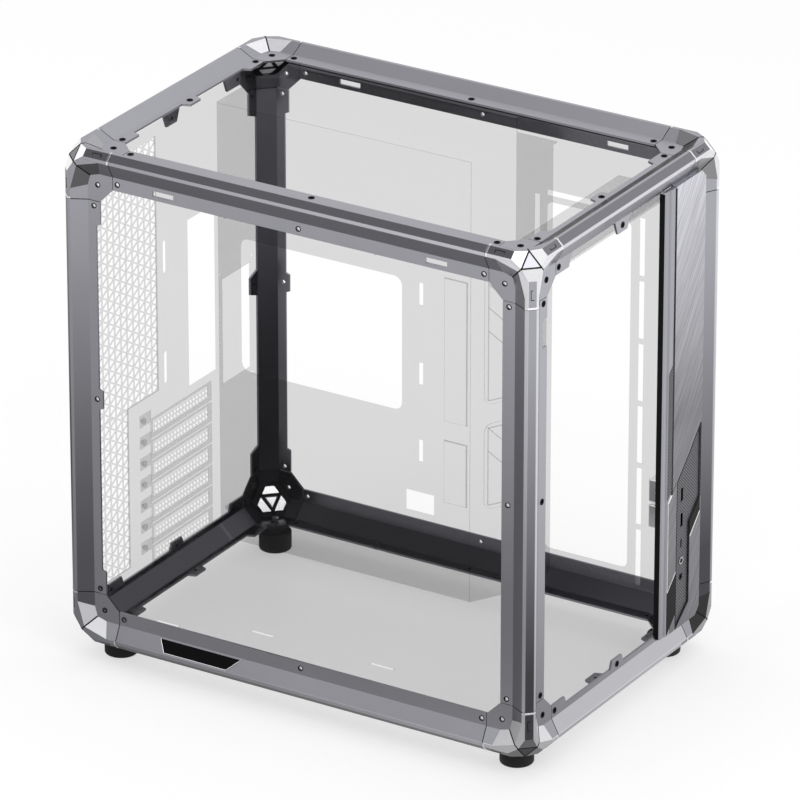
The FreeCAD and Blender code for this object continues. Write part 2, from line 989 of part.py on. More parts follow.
# Standoffs on the tray
standoffs = []
for span in board_row_spans:
    for column_shift in (0.0, board_column_span):
        along = frame_depth - board_column_rear - column_shift
        base = tray_point(along, board_rows_top - span)
        spacer = hole_post(base, inward("left", -standoff_height), standoff_radius)
        bore = rod(base, inward("left", -standoff_height), standoff_bore)
        standoffs.append(spacer.cut(bore))
parts["board_standoffs"] = Part.makeCompound(standoffs)

# Angled wall from the tray end to the fan bracket
wall_start = spot(left=tray_left, front=tray_front - touch_gap, bottom=floor_top)
wall_end = spot(left=wall_end_left, front=wall_end_front, bottom=floor_top)
wall_run = wall_end - wall_start
wall_heading = Vector(wall_run.x, wall_run.y, 0).normalize()
wall_normal = Vector(wall_heading.y, -wall_heading.x, 0)


def wall_point(along, up):
    return wall_start + wall_heading * along + Vector(0, 0, up - floor_top)


def wall_box(along, up, length, height):
    return [
        wall_point(along, up),
        wall_point(along + length, up),
        wall_point(along + length, up + height),
        wall_point(along, up + height),
    ]


wall_length = wall_run.Length
window_length = wall_length - 2 * wall_window_margin
wall_holes = []
for base, height in (
    (upper_window_bottom, upper_window_height),
    (lower_window_bottom, lower_window_height),
):
    window = wall_box(wall_window_margin, base, window_length, height)
    wall_holes.append(rounded(window, wall_window_radius))
outline = loop(
    [
        wall_point(0.0, floor_top),
        wall_point(wall_length - notch, floor_top),
        wall_point(wall_length, floor_top + notch),
        wall_point(wall_length, tray_height),
        wall_point(0.0, tray_height),
    ]
)
parts["angled_wall"] = plate(outline, wall_holes, wall_normal * sheet)


# Side fan bracket on the right flanges
def bay_point(along, up):
    return spot(right=flange_back, front=along, bottom=up)


def bay_box(along, up, length, height):
    return [
        bay_point(along, up),
        bay_point(along + length, up),
        bay_point(along + length, up + height),
        bay_point(along, up + height),
    ]


bay_length = bracket_length - 2 * rail_width
bay_holes = [
    rounded(bay_box(bracket_front + rail_width, bay_bottom, bay_length, bay_height), bay_radius),
]
rail_slot_pitch = (rail_slot_end - rail_slot_start + rail_slot_gap) / rail_slot_count
slot_along = bracket_front + rail_slot_inset - rail_slot_width / 2
for along in (slot_along, slot_along + fan_hole_spacing):
    for i in range(rail_slot_count):
        base = rail_slot_start + rail_slot_pitch * i
        slot = bay_box(along, base, rail_slot_width, rail_slot_pitch - rail_slot_gap)
        bay_holes.append(loop(slot))
head_slot = bay_box(
    bracket_front + rail_width,
    bay_bottom + bay_height + rail_slot_width,
    bay_length,
    rail_slot_width,
)
bay_holes.append(loop(head_slot))
outline = loop(bay_box(bracket_front, sheet_edge, bracket_length, frame_height - 2 * sheet_edge))
parts["side_fan_bracket"] = plate(outline, bay_holes, inward("right", sheet))

# Roof over the chamber behind the tray, with a lip on the right beam
roof_level = tray_top
roof_edge = sheet_back + touch_gap
roof_cut = web_reach + corner_clearance


def roof_point(face, across, end, along):
    return spot(**{face: across, end: along, "top": roof_level})


lip_front = bracket_front + bracket_length + touch_gap
roof_outline = [
    roof_point("left", tray_left, "rear", roof_edge),
    roof_point("left", tray_left, "front", tray_front),
    roof_point("left", wall_end_left, "front", wall_end_front),
    roof_point("right", roof_edge, "front", wall_end_front),
    roof_point("right", roof_edge, "front", lip_front),
    roof_point("right", flange_back, "front", lip_front),
    roof_point("right", flange_back, "rear", roof_cut),
    roof_point("right", roof_cut - roof_edge, "rear", roof_edge),
]
roof = prism(roof_outline, inward("top", -sheet))
lip_outline = [
    spot(right=flange_back, front=lip_front, top=roof_level),
    spot(right=flange_back, rear=roof_cut, top=roof_level),
    spot(right=flange_back, rear=roof_cut, top=roof_level - roof_lip),
    spot(right=flange_back, front=lip_front, top=roof_level - roof_lip),
]
parts["chamber_roof"] = joined(roof, [prism(lip_outline, inward("right", sheet))])

# Floor panel on the bottom flanges
floor_cut = 2 * gusset_hole + 3 * screw_head_radius - 2 * sheet_edge
floor_outline = cut_rectangle(sheet_edge, frame_width - sheet_edge, frame_depth - sheet_edge, floor_cut)
floor_holes = []
for along in floor_slit_fronts:
    slit = [
        spot(left=floor_slit_left, front=along, bottom=flange_back),
        spot(left=floor_slit_left + floor_slit_width, front=along, bottom=flange_back),
        spot(left=floor_slit_left + floor_slit_width, front=along + floor_slit_length, bottom=flange_back),
        spot(left=floor_slit_left, front=along + floor_slit_length, bottom=flange_back),
    ]
    floor_holes.append(loop(slit))
outline = loop([spot(left=a, front=b, bottom=flange_back) for a, b in floor_outline])
parts["floor_panel"] = plate(outline, floor_holes, inward("bottom", sheet))

# Front top bracket: a lip behind the front beam and a shelf
bracket_side = flange_end + corner_arm - sheet_edge
lip_points = [
    spot(left=bracket_side, front=flange_back, top=sheet_edge),
    spot(right=bracket_side, front=flange_back, top=sheet_edge),
    spot(right=bracket_side, front=flange_back, top=bracket_drop),
    spot(left=bracket_side, front=flange_back, top=bracket_drop),
]
shelf_points = [
    spot(left=bracket_side, front=flange_back, top=bracket_drop),
    spot(right=bracket_side, front=flange_back, top=bracket_drop),
    spot(right=bracket_side, front=bracket_shelf_front, top=bracket_drop),
    spot(left=bracket_side, front=bracket_shelf_front, top=bracket_drop),
]
shelf = prism(shelf_points, inward("top", sheet))
parts["front_top_bracket"] = joined(shelf, [prism(lip_points, inward("front", sheet))])


# Front strip face with a cut for the inset
def strip_point(across, up, deep=strip_front):
    return spot(left=across, bottom=up, front=deep)


strip_right = frame_width - sheet_edge
strip_low = sheet_edge
strip_high = frame_height - sheet_edge
face_left = strip_left + rail_land + strip_groove
face_outline = [
    (face_left, strip_low),
    (strip_right - strip_chamfer, strip_low),
    (strip_right, strip_low + strip_chamfer),
    (strip_right, strip_high - strip_chamfer),
    (strip_right - strip_chamfer, strip_high),
    (face_left, strip_high),
]
inset_right = inset_left + inset_shoulder
inset_edge = strip_right - strip_groove - wall
inset_outline = [
    (inset_left, strip_low + strip_groove + wall),
    (inset_left + strip_groove, strip_low + strip_groove + wall),
    (inset_right, strip_low + inset_foot),
    (inset_right, inset_right_bottom - (inset_edge - inset_right)),
    (inset_edge, inset_right_bottom),
    (inset_edge, inset_right_top),
    (inset_right, inset_top + inset_shoulder),
    (inset_left, inset_top),
]
strip_sweep = inward("front", face_recess - strip_front)
hole = loop([strip_point(a, u) for a, u in inset_outline])
outline = loop([strip_point(a, u) for a, u in face_outline])
parts["strip_face"] = plate(outline, [hole], strip_sweep)

# Edge rail of the strip with a stepped section
rail_section = [
    (0.0, face_recess),
    (0.0, strip_front + rail_bevel),
    (rail_bevel, strip_front + rail_step),
    (rail_land / 2, strip_front + rail_step),
    (rail_land / 2 + rail_step, strip_front),
    (rail_land, strip_front),
    (rail_land, face_recess),
]
points = [strip_point(strip_left + a, strip_low, d) for a, d in rail_section]
rail = prism(points, inward("bottom", strip_high - strip_low))
tongue_low = flange_end + seam_gap
tongue_right = rail_land + strip_groove + rail_tongue
tongue_section = [
    (0.0, face_recess),
    (tongue_right, face_recess),
    (tongue_right, flange_back),
    (0.0, flange_back),
]
points = [strip_point(strip_left + a, tongue_low, d) for a, d in tongue_section]
tongue = prism(points, inward("bottom", frame_height - 2 * tongue_low))
parts["strip_edge_rail"] = joined(rail, [tongue])

# Hatched inset with openings for the sockets and the button
inset_face = strip_front + inset_depth
port_normal = inward("front", 1.0)


def port_box(up, width, height, deep, grow=0.0):
    wide = width / 2 + grow
    tall = height / 2 + grow
    return [
        strip_point(port_left - wide, up - tall, deep),
        strip_point(port_left + wide, up - tall, deep),
        strip_point(port_left + wide, up + tall, deep),
        strip_point(port_left - wide, up + tall, deep),
    ]


def port_ring(up, deep, radius):
    return polygon(strip_point(port_left, up, deep), port_normal, radius, post_sides)


inset_holes = [
    loop(port_box(usb_upper_bottom, usb_width, usb_height, inset_face, port_clearance)),
    loop(port_box(usb_lower_bottom, usb_width, usb_height, inset_face, port_clearance)),
    rounded(
        port_box(small_bottom, small_width, small_height, inset_face, port_clearance),
        small_width * end_rounding,
    ),
    port_ring(jack_bottom, inset_face, jack_radius + port_clearance),
    port_ring(button_bottom, inset_face, button_radius + button_clearance),
]

def eased(points, distance):
    """Outline of strip points moved inward for a free fit."""
    corners = [strip_point(a, u, inset_face) for a, u in points]
    return Part.Face(loop(corners)).makeOffset2D(-distance, join=2).OuterWire


inset_sweep = inward("front", face_recess - inset_face)
parts["strip_inset"] = plate(eased(inset_outline, inset_clearance), inset_holes, inset_sweep)


# Sockets with collars that rest on the back of the inset
def usb_socket_at(up):
    shell = prism(port_box(up, usb_width, usb_height, inset_face), inward("front", usb_depth))
    mouth = port_box(up, usb_width, usb_height, inset_face, -usb_wall)
    shell = shell.cut(prism(mouth, inward("front", usb_socket)))
    tongue_left = port_left - usb_width / 2 + usb_wall
    tongue = [
        strip_point(tongue_left + usb_tongue, up - usb_height / 2 + 2 * usb_wall, inset_face + usb_wall),
        strip_point(tongue_left + usb_tongue, up + usb_height / 2 - 2 * usb_wall, inset_face + usb_wall),
        strip_point(tongue_left, up + usb_height / 2 - 2 * usb_wall, inset_face + usb_wall),
        strip_point(tongue_left, up - usb_height / 2 + 2 * usb_wall, inset_face + usb_wall),
    ]
    rest = prism(tongue, inward("front", usb_socket))
    brim = prism(
        port_box(up, usb_width, usb_height, face_recess, collar),
        inward("front", collar_thickness),
    )
    mouth_keep = prism(port_box(up, usb_width, usb_height, face_recess, -usb_wall), inward("front", usb_socket))
    return joined(shell, [rest, brim.cut(mouth_keep)])


parts["usb_socket_upper"] = usb_socket_at(usb_upper_bottom)
parts["usb_socket_lower"] = usb_socket_at(usb_lower_bottom)
small_outline = rounded(port_box(small_bottom, small_width, small_height, inset_face), small_width * end_rounding)
small_shell = plate(small_outline, [], inward("front", small_depth))
small_mouth = rounded(
    port_box(small_bottom, small_width, small_height, inset_face, -usb_wall),
    small_width * end_rounding - usb_wall,
)
small_shell = small_shell.cut(plate(small_mouth, [], inward("front", small_depth / 2)))
small_brim = prism(
    port_box(small_bottom, small_width, small_height, face_recess, collar),
    inward("front", collar_thickness),
)
small_hollow = plate(
    rounded(
        port_box(small_bottom, small_width, small_height, face_recess, -usb_wall),
        small_width * end_rounding - usb_wall,
    ),
    [],
    inward("front", collar_thickness),
)
parts["small_socket"] = joined(small_shell, [small_brim.cut(small_hollow)])
jack_front = strip_point(port_left, jack_bottom, inset_face)
jack = post(jack_front, inward("front", jack_depth), jack_radius)
jack_back = strip_point(port_left, jack_bottom, face_recess)
jack = joined(jack, [post(jack_back, inward("front", collar_thickness), jack_radius + collar)])
parts["audio_jack"] = jack.cut(post(jack_front, inward("front", jack_depth - collar), jack_bore))

# Power button and the switch housing that holds it
button_front = strip_point(port_left, button_bottom, inset_face - button_rise)
flange_front = face_recess + touch_gap
button = post(button_front, inward("front", flange_front - inset_face + button_rise), button_radius)
flange_base = strip_point(port_left, button_bottom, flange_front)
button_disc = post(flange_base, inward("front", button_flange_thickness), button_radius + button_flange)
parts["power_button"] = joined(button, [button_disc])
cavity_radius = button_radius + button_flange + button_clearance
cavity_depth = touch_gap + button_flange_thickness + button_travel + button_clearance
housing_half = cavity_radius + switch_wall
housing = prism(
    port_box(button_bottom, 2 * housing_half, 2 * housing_half, face_recess),
    inward("front", switch_depth),
)
cavity = post(strip_point(port_left, button_bottom, face_recess), inward("front", cavity_depth), cavity_radius)
parts["power_switch"] = housing.cut(cavity)

os.makedirs("parts", exist_ok=True)
for name, shape in parts.items():
    shape.exportStep("parts/" + name + ".step")
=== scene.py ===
"""Looks of an open-frame ATX computer case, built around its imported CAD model."""

import json
import logging
import math
from dataclasses import dataclass, field
from enum import Enum
from itertools import product
from typing import Any, Callable, Iterable, Optional, Sequence

import bmesh
import bpy
from mathutils import Matrix, Vector


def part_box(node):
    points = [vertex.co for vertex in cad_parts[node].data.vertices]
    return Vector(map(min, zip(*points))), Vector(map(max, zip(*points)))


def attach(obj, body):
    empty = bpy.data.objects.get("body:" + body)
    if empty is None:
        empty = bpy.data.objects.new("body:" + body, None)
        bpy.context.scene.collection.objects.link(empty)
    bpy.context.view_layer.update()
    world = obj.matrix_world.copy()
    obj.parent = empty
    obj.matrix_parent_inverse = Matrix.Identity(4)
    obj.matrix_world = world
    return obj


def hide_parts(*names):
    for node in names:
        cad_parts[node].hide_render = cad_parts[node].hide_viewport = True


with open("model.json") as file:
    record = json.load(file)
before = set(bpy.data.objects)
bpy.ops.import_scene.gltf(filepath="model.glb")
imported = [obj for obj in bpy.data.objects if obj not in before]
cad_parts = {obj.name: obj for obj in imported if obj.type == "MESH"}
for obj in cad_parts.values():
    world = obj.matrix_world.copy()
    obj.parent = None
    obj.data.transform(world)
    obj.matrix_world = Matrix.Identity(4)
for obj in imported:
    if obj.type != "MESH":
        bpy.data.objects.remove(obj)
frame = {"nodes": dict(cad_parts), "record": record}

MM = 0.001
CLOSE = 0.1 * MM
CASE = "case"
LOG = logging.getLogger("case_scene")
X, Y, Z = Vector((1.0, 0.0, 0.0)), Vector((0.0, 1.0, 0.0)), Vector((0.0, 0.0, 1.0))
WHITE = (1.0, 1.0, 1.0, 1.0)
# Heights between which the painted shade and highlights of the frame change
PAINTED_LIGHT_HEIGHTS = (0.1, 0.4)
# Least part of a unit normal along the axis that a face looks along
ALONG = 0.9
SMOOTH_ANGLE = math.radians(35)

Colour = tuple[float, float, float, float]
Pair = tuple[float, float]
Triple = tuple[float, float, float]
Inputs = dict[Any, Any]
Tree = bpy.types.NodeTree
Piece = bpy.types.Object


class Element(Enum):
    """Kinds of mesh element, each with the name of its selection mode."""

    VERTS = "VERT"
    EDGES = "EDGE"
    FACES = "FACE"


class Slot(Enum):
    """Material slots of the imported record."""

    BEAM = "dark_beam"
    CASTING = "dark_casting"
    RUBBER = "black_rubber"
    SCREW = "steel_screw"
    FACET = "silver_facet"
    PLATE = "black_plate"
    STRIP = "brushed_strip"
    RAIL = "silver_rail"
    INSET = "hatched_inset"
    SOCKET = "socket_shell"
    PLASTIC = "black_plastic"
    BUTTON = "silver_button"
    SHEET = "smoke_sheet"


# Nodes


def linear(code: str) -> Colour:
    """Turn an sRGB hex value into a linear colour.

    Args:
        code: Colour as "#rrggbb".

    Returns:
        Linear red, green, blue and an alpha of one.
    """
    shares = [int(code[i:i + 2], 16) / 255 for i in (1, 3, 5)]
    bent = [s / 12.92 if s <= 0.04045 else ((s + 0.055) / 1.055) ** 2.4 for s in shares]
    return (bent[0], bent[1], bent[2], 1.0)


def grey(level: float) -> Colour:
    """Colour that stands for a plain value."""
    return (level, level, level, 1.0)


def feed(tree: Tree, node: Any, inputs: Inputs) -> None:
    """Give a node its values and links.

    Args:
        tree: Node tree of the node.
        node: Node that gets them.
        inputs: Values, or output sockets to link, by input name or number.
    """
    for key, value in inputs.items():
        if isinstance(value, bpy.types.NodeSocket):
            tree.links.new(value, node.inputs[key])
        else:
            node.inputs[key].default_value = value


def add_node(tree: Tree, kind: str, inputs: Optional[Inputs] = None, **settings: Any) -> Any:
    """Add a node with its settings, its values and its links.

    Args:
        tree: Node tree that gets the node.
        kind: Node type.
        inputs: Values, or output sockets to link, by input name or number.
        settings: Properties of the node.

    Returns:
        The new node.
    """
    node = tree.nodes.new(kind)
    for name, value in settings.items():
        setattr(node, name, value)
    feed(tree, node, inputs or {})
    return node


def calc(tree: Tree, operation: str, *values: Any) -> Any:
    """Work out a value from values; returns its output socket."""
    return add_node(tree, "ShaderNodeMath", dict(enumerate(values)), operation=operation).outputs[0]


def calc_vectors(tree: Tree, operation: str, *values: Any) -> Any:
    """Work out a vector or a value from vectors; returns its output socket."""
    node = add_node(tree, "ShaderNodeVectorMath", dict(enumerate(values)), operation=operation)
    return node.outputs["Value" if operation in ("DOT_PRODUCT", "DISTANCE") else "Vector"]


def parts(tree: Tree, vector: Any) -> Any:
    """Output sockets with the three parts of a vector."""
    return add_node(tree, "ShaderNodeSeparateXYZ", {0: vector}).outputs


def coordinates(tree: Tree, kind: str) -> Any:
    """Output socket with a kind of texture coordinates."""
    return add_node(tree, "ShaderNodeTexCoord").outputs[kind]


def spread(tree: Tree, value: Any, source: Pair, target: Pair, **settings: Any) -> Any:
    """Map a value from one range to another.

    Args:
        tree: Node tree to work in.
        value: Output socket with the value.
        source: Range of the value.
        target: Range of the result.
        settings: Properties of the node.

    Returns:
        Output socket with the result.
    """
    names = ("Value", "From Min", "From Max", "To Min", "To Max")
    values = dict(zip(names, (value, *source, *target)))
    return add_node(tree, "ShaderNodeMapRange", values, **settings).outputs[0]


def by_height(tree: Tree, place: Any, levels: Pair, heights: Pair = PAINTED_LIGHT_HEIGHTS) -> Any:
    """Value that goes with the height.

    Args:
        tree: Node tree to work in.
        place: Object coordinates.
        levels: Value at the foot and at the top.
        heights: Heights of the foot and the top.

    Returns:
        Output socket with the value.
    """
    return spread(tree, parts(tree, place)[2], heights, levels)


def blend(tree: Tree, share: Any, first: Any, second: Any, **settings: Any) -> Any:
    """Mix two colours or values.

    Args:
        tree: Node tree to work in.
        share: Share of the second one.
        first: Colour or output socket.
        second: Colour or output socket.
        settings: Properties of the node.

    Returns:
        Output socket with the mixture.
    """
    inputs: Inputs = {"Fac": share, "Color1": first, "Color2": second}
    return add_node(tree, "ShaderNodeMixRGB", inputs, **settings).outputs[0]


def noise(tree: Tree, place: Any, size: float, detail: float = 2.0) -> Any:
    """Random values.

    Args:
        tree: Node tree to work in.
        place: Coordinates.
        size: Size of a spot.
        detail: How many finer layers it has.

    Returns:
        Output socket with the values.
    """
    inputs: Inputs = {"Vector": place, "Scale": 1 / size, "Detail": detail}
    return add_node(tree, "ShaderNodeTexNoise", inputs).outputs[0]


def tones(tree: Tree, share: Any, code: str, levels: Pair, stops: Pair = (0.0, 1.0)) -> Any:
    """Two tones of a colour.

    Args:
        tree: Node tree to work in.
        share: Output socket with the share of the second tone.
        code: Colour as "#rrggbb".
        levels: Brightness of each tone, as a share of the colour's.
        stops: Share at which each tone is reached.

    Returns:
        Output socket with the tone.
    """
    ramp = add_node(tree, "ShaderNodeValToRGB", {"Fac": share})
    for stop, level, position in zip(ramp.color_ramp.elements, levels, stops):
        stop.position = position
        stop.color = [min(1.0, c * level) for c in linear(code)[:3]] + [1.0]
    return ramp.outputs[0]


def turned(tree: Tree, place: Any, angle: float, stretch: float = 1.0) -> Any:
    """Coordinates turned round the Y axis, then stretched along Z.

    Args:
        tree: Node tree to work in.
        place: Coordinates.
        angle: How far they are turned.
        stretch: How far a pattern in them is stretched.

    Returns:
        Output socket with the coordinates.
    """
    spun = add_node(tree, "ShaderNodeMapping", {"Vector": place, "Rotation": (0.0, angle, 0.0)}).outputs[0]
    return add_node(tree, "ShaderNodeMapping", {"Vector": spun, "Scale": (1.0, 1.0, 1 / stretch)}).outputs[0]


def emboss(tree: Tree, shader: Any, height: Any, distance: float, **inputs: Any) -> None:
    """Give a shader a relief.

    Args:
        tree: Node tree to work in.
        shader: Shader node.
        height: Output socket with the height.
        distance: Height of the relief.
        inputs: Other values or links of the relief.
    """
    bump = add_node(tree, "ShaderNodeBump", {"Height": height, "Distance": distance, **inputs})
    feed(tree, shader, {"Normal": bump.outputs[0]})


# Finishes


@dataclass(frozen=True)
class Finish:
    """A real surface: its colour, how metallic it is and how rough."""

    name: str
    colour: str
    metallic: float = 0.0
    roughness: float = 0.5

    def make(self) -> bpy.types.Material:
        """Build the material of this finish.

        Returns:
            The new material.
        """
        material = bpy.data.materials.new(self.name)
        material.use_nodes = True
        tree = material.node_tree
        tree.nodes.clear()
        values: Inputs = {
            "Base Color": linear(self.colour),
            "Metallic": self.metallic,
            "Roughness": self.roughness,
        }
        shader = add_node(tree, "ShaderNodeBsdfPrincipled", values)
        add_node(tree, "ShaderNodeOutputMaterial", {"Surface": shader.outputs[0]})
        self.detail(tree, shader, coordinates(tree, "Object"))
        return material

    def detail(self, tree: Tree, shader: Any, place: Any) -> None:
        """Add the surface detail; a plain finish has none.

        Args:
            tree: Node tree to work in.
            shader: Shader node of the surface.
            place: Object coordinates.
        """

    def uneven(self, tree: Tree, grain: Any, play: float) -> Any:
        """Roughness that goes with a grain, by some play to each side."""
        return spread(tree, grain, (0.0, 1.0), (self.roughness - play, self.roughness + play))


@dataclass(frozen=True)
class PaintedReflection:
    """A painted reflection of a studio flag: a tone on the faces that look to it, near black as painted
    shade, white as a painted highlight.
    """

    direction: Triple
    low: float
    high: float
    close: float = 0.98
    right_of: float = -1.0
    # Painted colour: near black for painted shade, white for a painted highlight
    tone: str = "#101012"

    def share(self, tree: Tree, place: Any) -> Any:
        """Share of the tone, from its low value at the foot to its high value at the top.

        Args:
            tree: Node tree to work in.
            place: Object coordinates.

        Returns:
            Output socket with the share.
        """
        side = Vector(self.direction).normalized()
        cosine = calc_vectors(tree, "DOT_PRODUCT", coordinates(tree, "Normal"), side)
        facing = calc(tree, "GREATER_THAN", cosine, self.close)
        beyond = calc(tree, "GREATER_THAN", parts(tree, place)[0], self.right_of)
        hit = calc(tree, "MULTIPLY", facing, beyond)
        return calc(tree, "MULTIPLY", hit, by_height(tree, place, (self.low, self.high)))


@dataclass(frozen=True)
class BlastedMetal(Finish):
    """Bead-blasted and anodised aluminium: satin, with a fine even grain."""

    grit: float = 0.7 * MM
    grain_height: float = 0.006 * MM
    play: float = 0.05
    drift: float = 60.0 * MM
    mottle: float = 0.05
    edge: float = 0.45 * MM
    # Inner faces: tone of their painted shade, and the cosines between which it comes in
    inner: Optional[str] = None
    inner_range: Pair = (0.2, 0.9)
    # Cut facets: tone of the bare cut metal, least part of their normal and its play, and share at the foot
    # and at the top, lower at the foot as painted shade
    facet: Optional[str] = None
    facet_slant: Pair = (0.423, 0.05)
    facet_levels: Pair = (0.15, 1.0)
    facet_roughness: float = 0.16
    facet_metal: float = 0.5
    # Lands in the outer planes: tone of their painted highlight, share at the front and at the rear
    ridge: Optional[str] = None
    ridge_levels: Pair = (0.95, 0.0)
    # Bevels beside the grooves: tone of the bare cut metal, least part of their normal and its play, and
    # metalness at the foot, lower there so that the bevels read lighter low down as painted light
    bevel: Optional[str] = None
    bevel_slant: Pair = (0.144, 0.03)
    bevel_metal: float = 0.35
    # Painted reflections: painted shade and highlights on the faces that look one way
    painted_reflections: tuple[PaintedReflection, ...] = ()
    centre: Triple = (0.0, 0.0, 0.25)
    outer: Pair = (0.157, 0.233)
    outer_play: float = 0.3 * MM

    def detail(self, tree: Tree, shader: Any, place: Any) -> None:
        """Add blast grain, slow colour drift and eased edges, the tones of cut facets and bevels, and
        painted shade and highlights on inner faces, lands and faces that look one way.
        """
        grain = noise(tree, place, self.grit)
        drift = noise(tree, place, self.drift)
        colour = tones(tree, drift, self.colour, (1 - self.mottle, 1 + self.mottle))
        rough = self.uneven(tree, grain, self.play)
        metal: Any = grey(self.metallic)
        # Painted highlight on the lands in the outer planes, fading to the rear
        if self.ridge:
            colour = blend(tree, self.on_ridge(tree, place), colour, linear(self.ridge))
        # Painted shade on the faces that look into the case
        if self.inner:
            colour = blend(tree, self.facing_in(tree, place), colour, linear(self.inner))
        if self.bevel:
            share = self.slanted(tree, *self.bevel_slant)
            colour = blend(tree, share, colour, linear(self.bevel))
            # Painted light: less metallic toward the foot, so the bevels read lighter low down
            painted_light_at_foot = calc(tree, "MULTIPLY", share, by_height(tree, place, (1.0, 0.0)))
            metal = blend(tree, painted_light_at_foot, metal, grey(self.bevel_metal))
        # Painted shade and highlights on the faces that look one way, changing with height
        for painted_reflection in self.painted_reflections:
            colour = blend(tree, painted_reflection.share(tree, place), colour, linear(painted_reflection.tone))
        # Bright cut facets, faded toward the foot as painted shade
        if self.facet:
            level = by_height(tree, place, self.facet_levels)
            share = calc(tree, "MULTIPLY", self.slanted(tree, *self.facet_slant), level)
            colour = blend(tree, share, colour, linear(self.facet))
            rough = blend(tree, share, rough, grey(self.facet_roughness))
            metal = blend(tree, share, metal, grey(self.facet_metal))
            feed(tree, shader, {"Metallic": metal})
        feed(tree, shader, {"Base Color": colour, "Roughness": rough})
        eased = add_node(tree, "ShaderNodeBevel", {"Radius": self.edge}, samples=4)
        emboss(tree, shader, grain, self.grain_height, Normal=eased.outputs[0])

    def facing_in(self, tree: Tree, place: Any) -> Any:
        """How far a face looks at the middle of the case, which sets the share of its painted shade.

        Args:
            tree: Node tree to work in.
            place: Object coordinates.

        Returns:
            Output socket that is one on faces that look straight inwards.
        """
        inward = calc_vectors(tree, "NORMALIZE", calc_vectors(tree, "SUBTRACT", self.centre, place))
        cosine = calc_vectors(tree, "DOT_PRODUCT", inward, coordinates(tree, "Normal"))
        return spread(tree, cosine, self.inner_range, (0.0, 1.0))

    def on_ridge(self, tree: Tree, place: Any) -> Any:
        """Share of the painted highlight: high on the lands in the upright outer planes of the frame, less
        so to the rear.

        Args:
            tree: Node tree to work in.
            place: Object coordinates.

        Returns:
            Output socket with the result.
        """
        sizes = parts(tree, calc_vectors(tree, "ABSOLUTE", place))
        over = [
            calc(tree, "GREATER_THAN", size, plane - self.outer_play)
            for size, plane in zip(sizes, self.outer)
        ]
        depth = (-self.outer[1], self.outer[1])
        # The painted highlight fades from the front to the rear
        highlight_fade = spread(tree, parts(tree, place)[1], depth, self.ridge_levels)
        return calc(tree, "MULTIPLY", calc(tree, "MAXIMUM", *over), highlight_fade)

    @staticmethod
    def slanted(tree: Tree, slant: float, play: float) -> Any:
        """One on the facets round a corner, told by the least part of their normal.

        Args:
            tree: Node tree to work in.
            slant: Least part of the normal of these facets.
            play: How far it may be off.

        Returns:
            Output socket with the result.
        """
        sizes = parts(tree, calc_vectors(tree, "ABSOLUTE", coordinates(tree, "Normal")))
        least = calc(tree, "MINIMUM", calc(tree, "MINIMUM", sizes[0], sizes[1]), sizes[2])
        return calc(tree, "COMPARE", least, slant, play)


@dataclass(frozen=True)
class BrushedMetal(Finish):
    """Brushed aluminium: long fine scratches in one direction."""

    # Real brush lines are near 0.2 mm wide; they are drawn coarser so that they show
    line: float = 0.8 * MM
    turn: float = math.radians(-35)
    stretch: float = 60.0
    height: float = 0.01 * MM
    contrast: Pair = (0.62, 1.38)
    stops: Pair = (0.25, 0.75)
    # Painted shade: heights between which, and levels by which, the strip darkens toward the foot
    heights: Pair = (0.24, 0.46)
    levels: Pair = (0.46, 1.32)

    def detail(self, tree: Tree, shader: Any, place: Any) -> None:
        """Add brush lines in colour and relief, with painted shade that darkens the strip toward the foot.
        """
        lines = noise(tree, turned(tree, place, self.turn, self.stretch), self.line, 3.0)
        colour = tones(tree, lines, self.colour, self.contrast, self.stops)
        level = by_height(tree, place, self.levels, self.heights)
        feed(tree, shader, {"Base Color": blend(tree, 1.0, colour, level, blend_type="MULTIPLY")})
        emboss(tree, shader, lines, self.height)


@dataclass(frozen=True)
class HatchedPlastic(Finish):
    """Moulded plastic with a fine diagonal hatch."""

    pitch: float = 2.2 * MM
    turn: float = math.radians(45)
    depth: float = 0.15 * MM
    contrast: Pair = (0.3, 1.7)

    def detail(self, tree: Tree, shader: Any, place: Any) -> None:
        """Add the hatch as relief and as a change of colour."""
        # The wave texture repeats every pi / (10 * scale)
        values: Inputs = {"Vector": turned(tree, place, self.turn), "Scale": math.pi / (10 * self.pitch)}
        waves = add_node(tree, "ShaderNodeTexWave", values, bands_direction="X").outputs["Fac"]
        feed(tree, shader, {"Base Color": tones(tree, waves, self.colour, self.contrast)})
        emboss(tree, shader, waves, self.depth)


@dataclass(frozen=True)
class MouldedSurface(Finish):
    """Moulded rubber or plastic with a fine grain."""

    grain: float = 0.5 * MM
    height: float = 0.02 * MM
    play: float = 0.08
    shine: float = 0.5

    def detail(self, tree: Tree, shader: Any, place: Any) -> None:
        """Add the grain as relief and as a change of roughness."""
        grain = noise(tree, place, self.grain, 3.0)
        rough = self.uneven(tree, grain, self.play)
        feed(tree, shader, {"Specular IOR Level": self.shine, "Roughness": rough})
        emboss(tree, shader, grain, self.height)


@dataclass(frozen=True)
class ClearSheet(Finish):
    """Smoke-tinted clear acrylic sheet: the same share of light passes each face."""

    alpha: float = 0.165
    shine: float = 0.15
    wave: float = 25.0 * MM
    height: float = 0.02 * MM

    def detail(self, tree: Tree, shader: Any, place: Any) -> None:
        """Set how much the sheet covers and a faint surface waviness."""
        feed(tree, shader, {"Alpha": self.alpha, "Specular IOR Level": self.shine})
        emboss(tree, shader, noise(tree, place, self.wave), self.height)
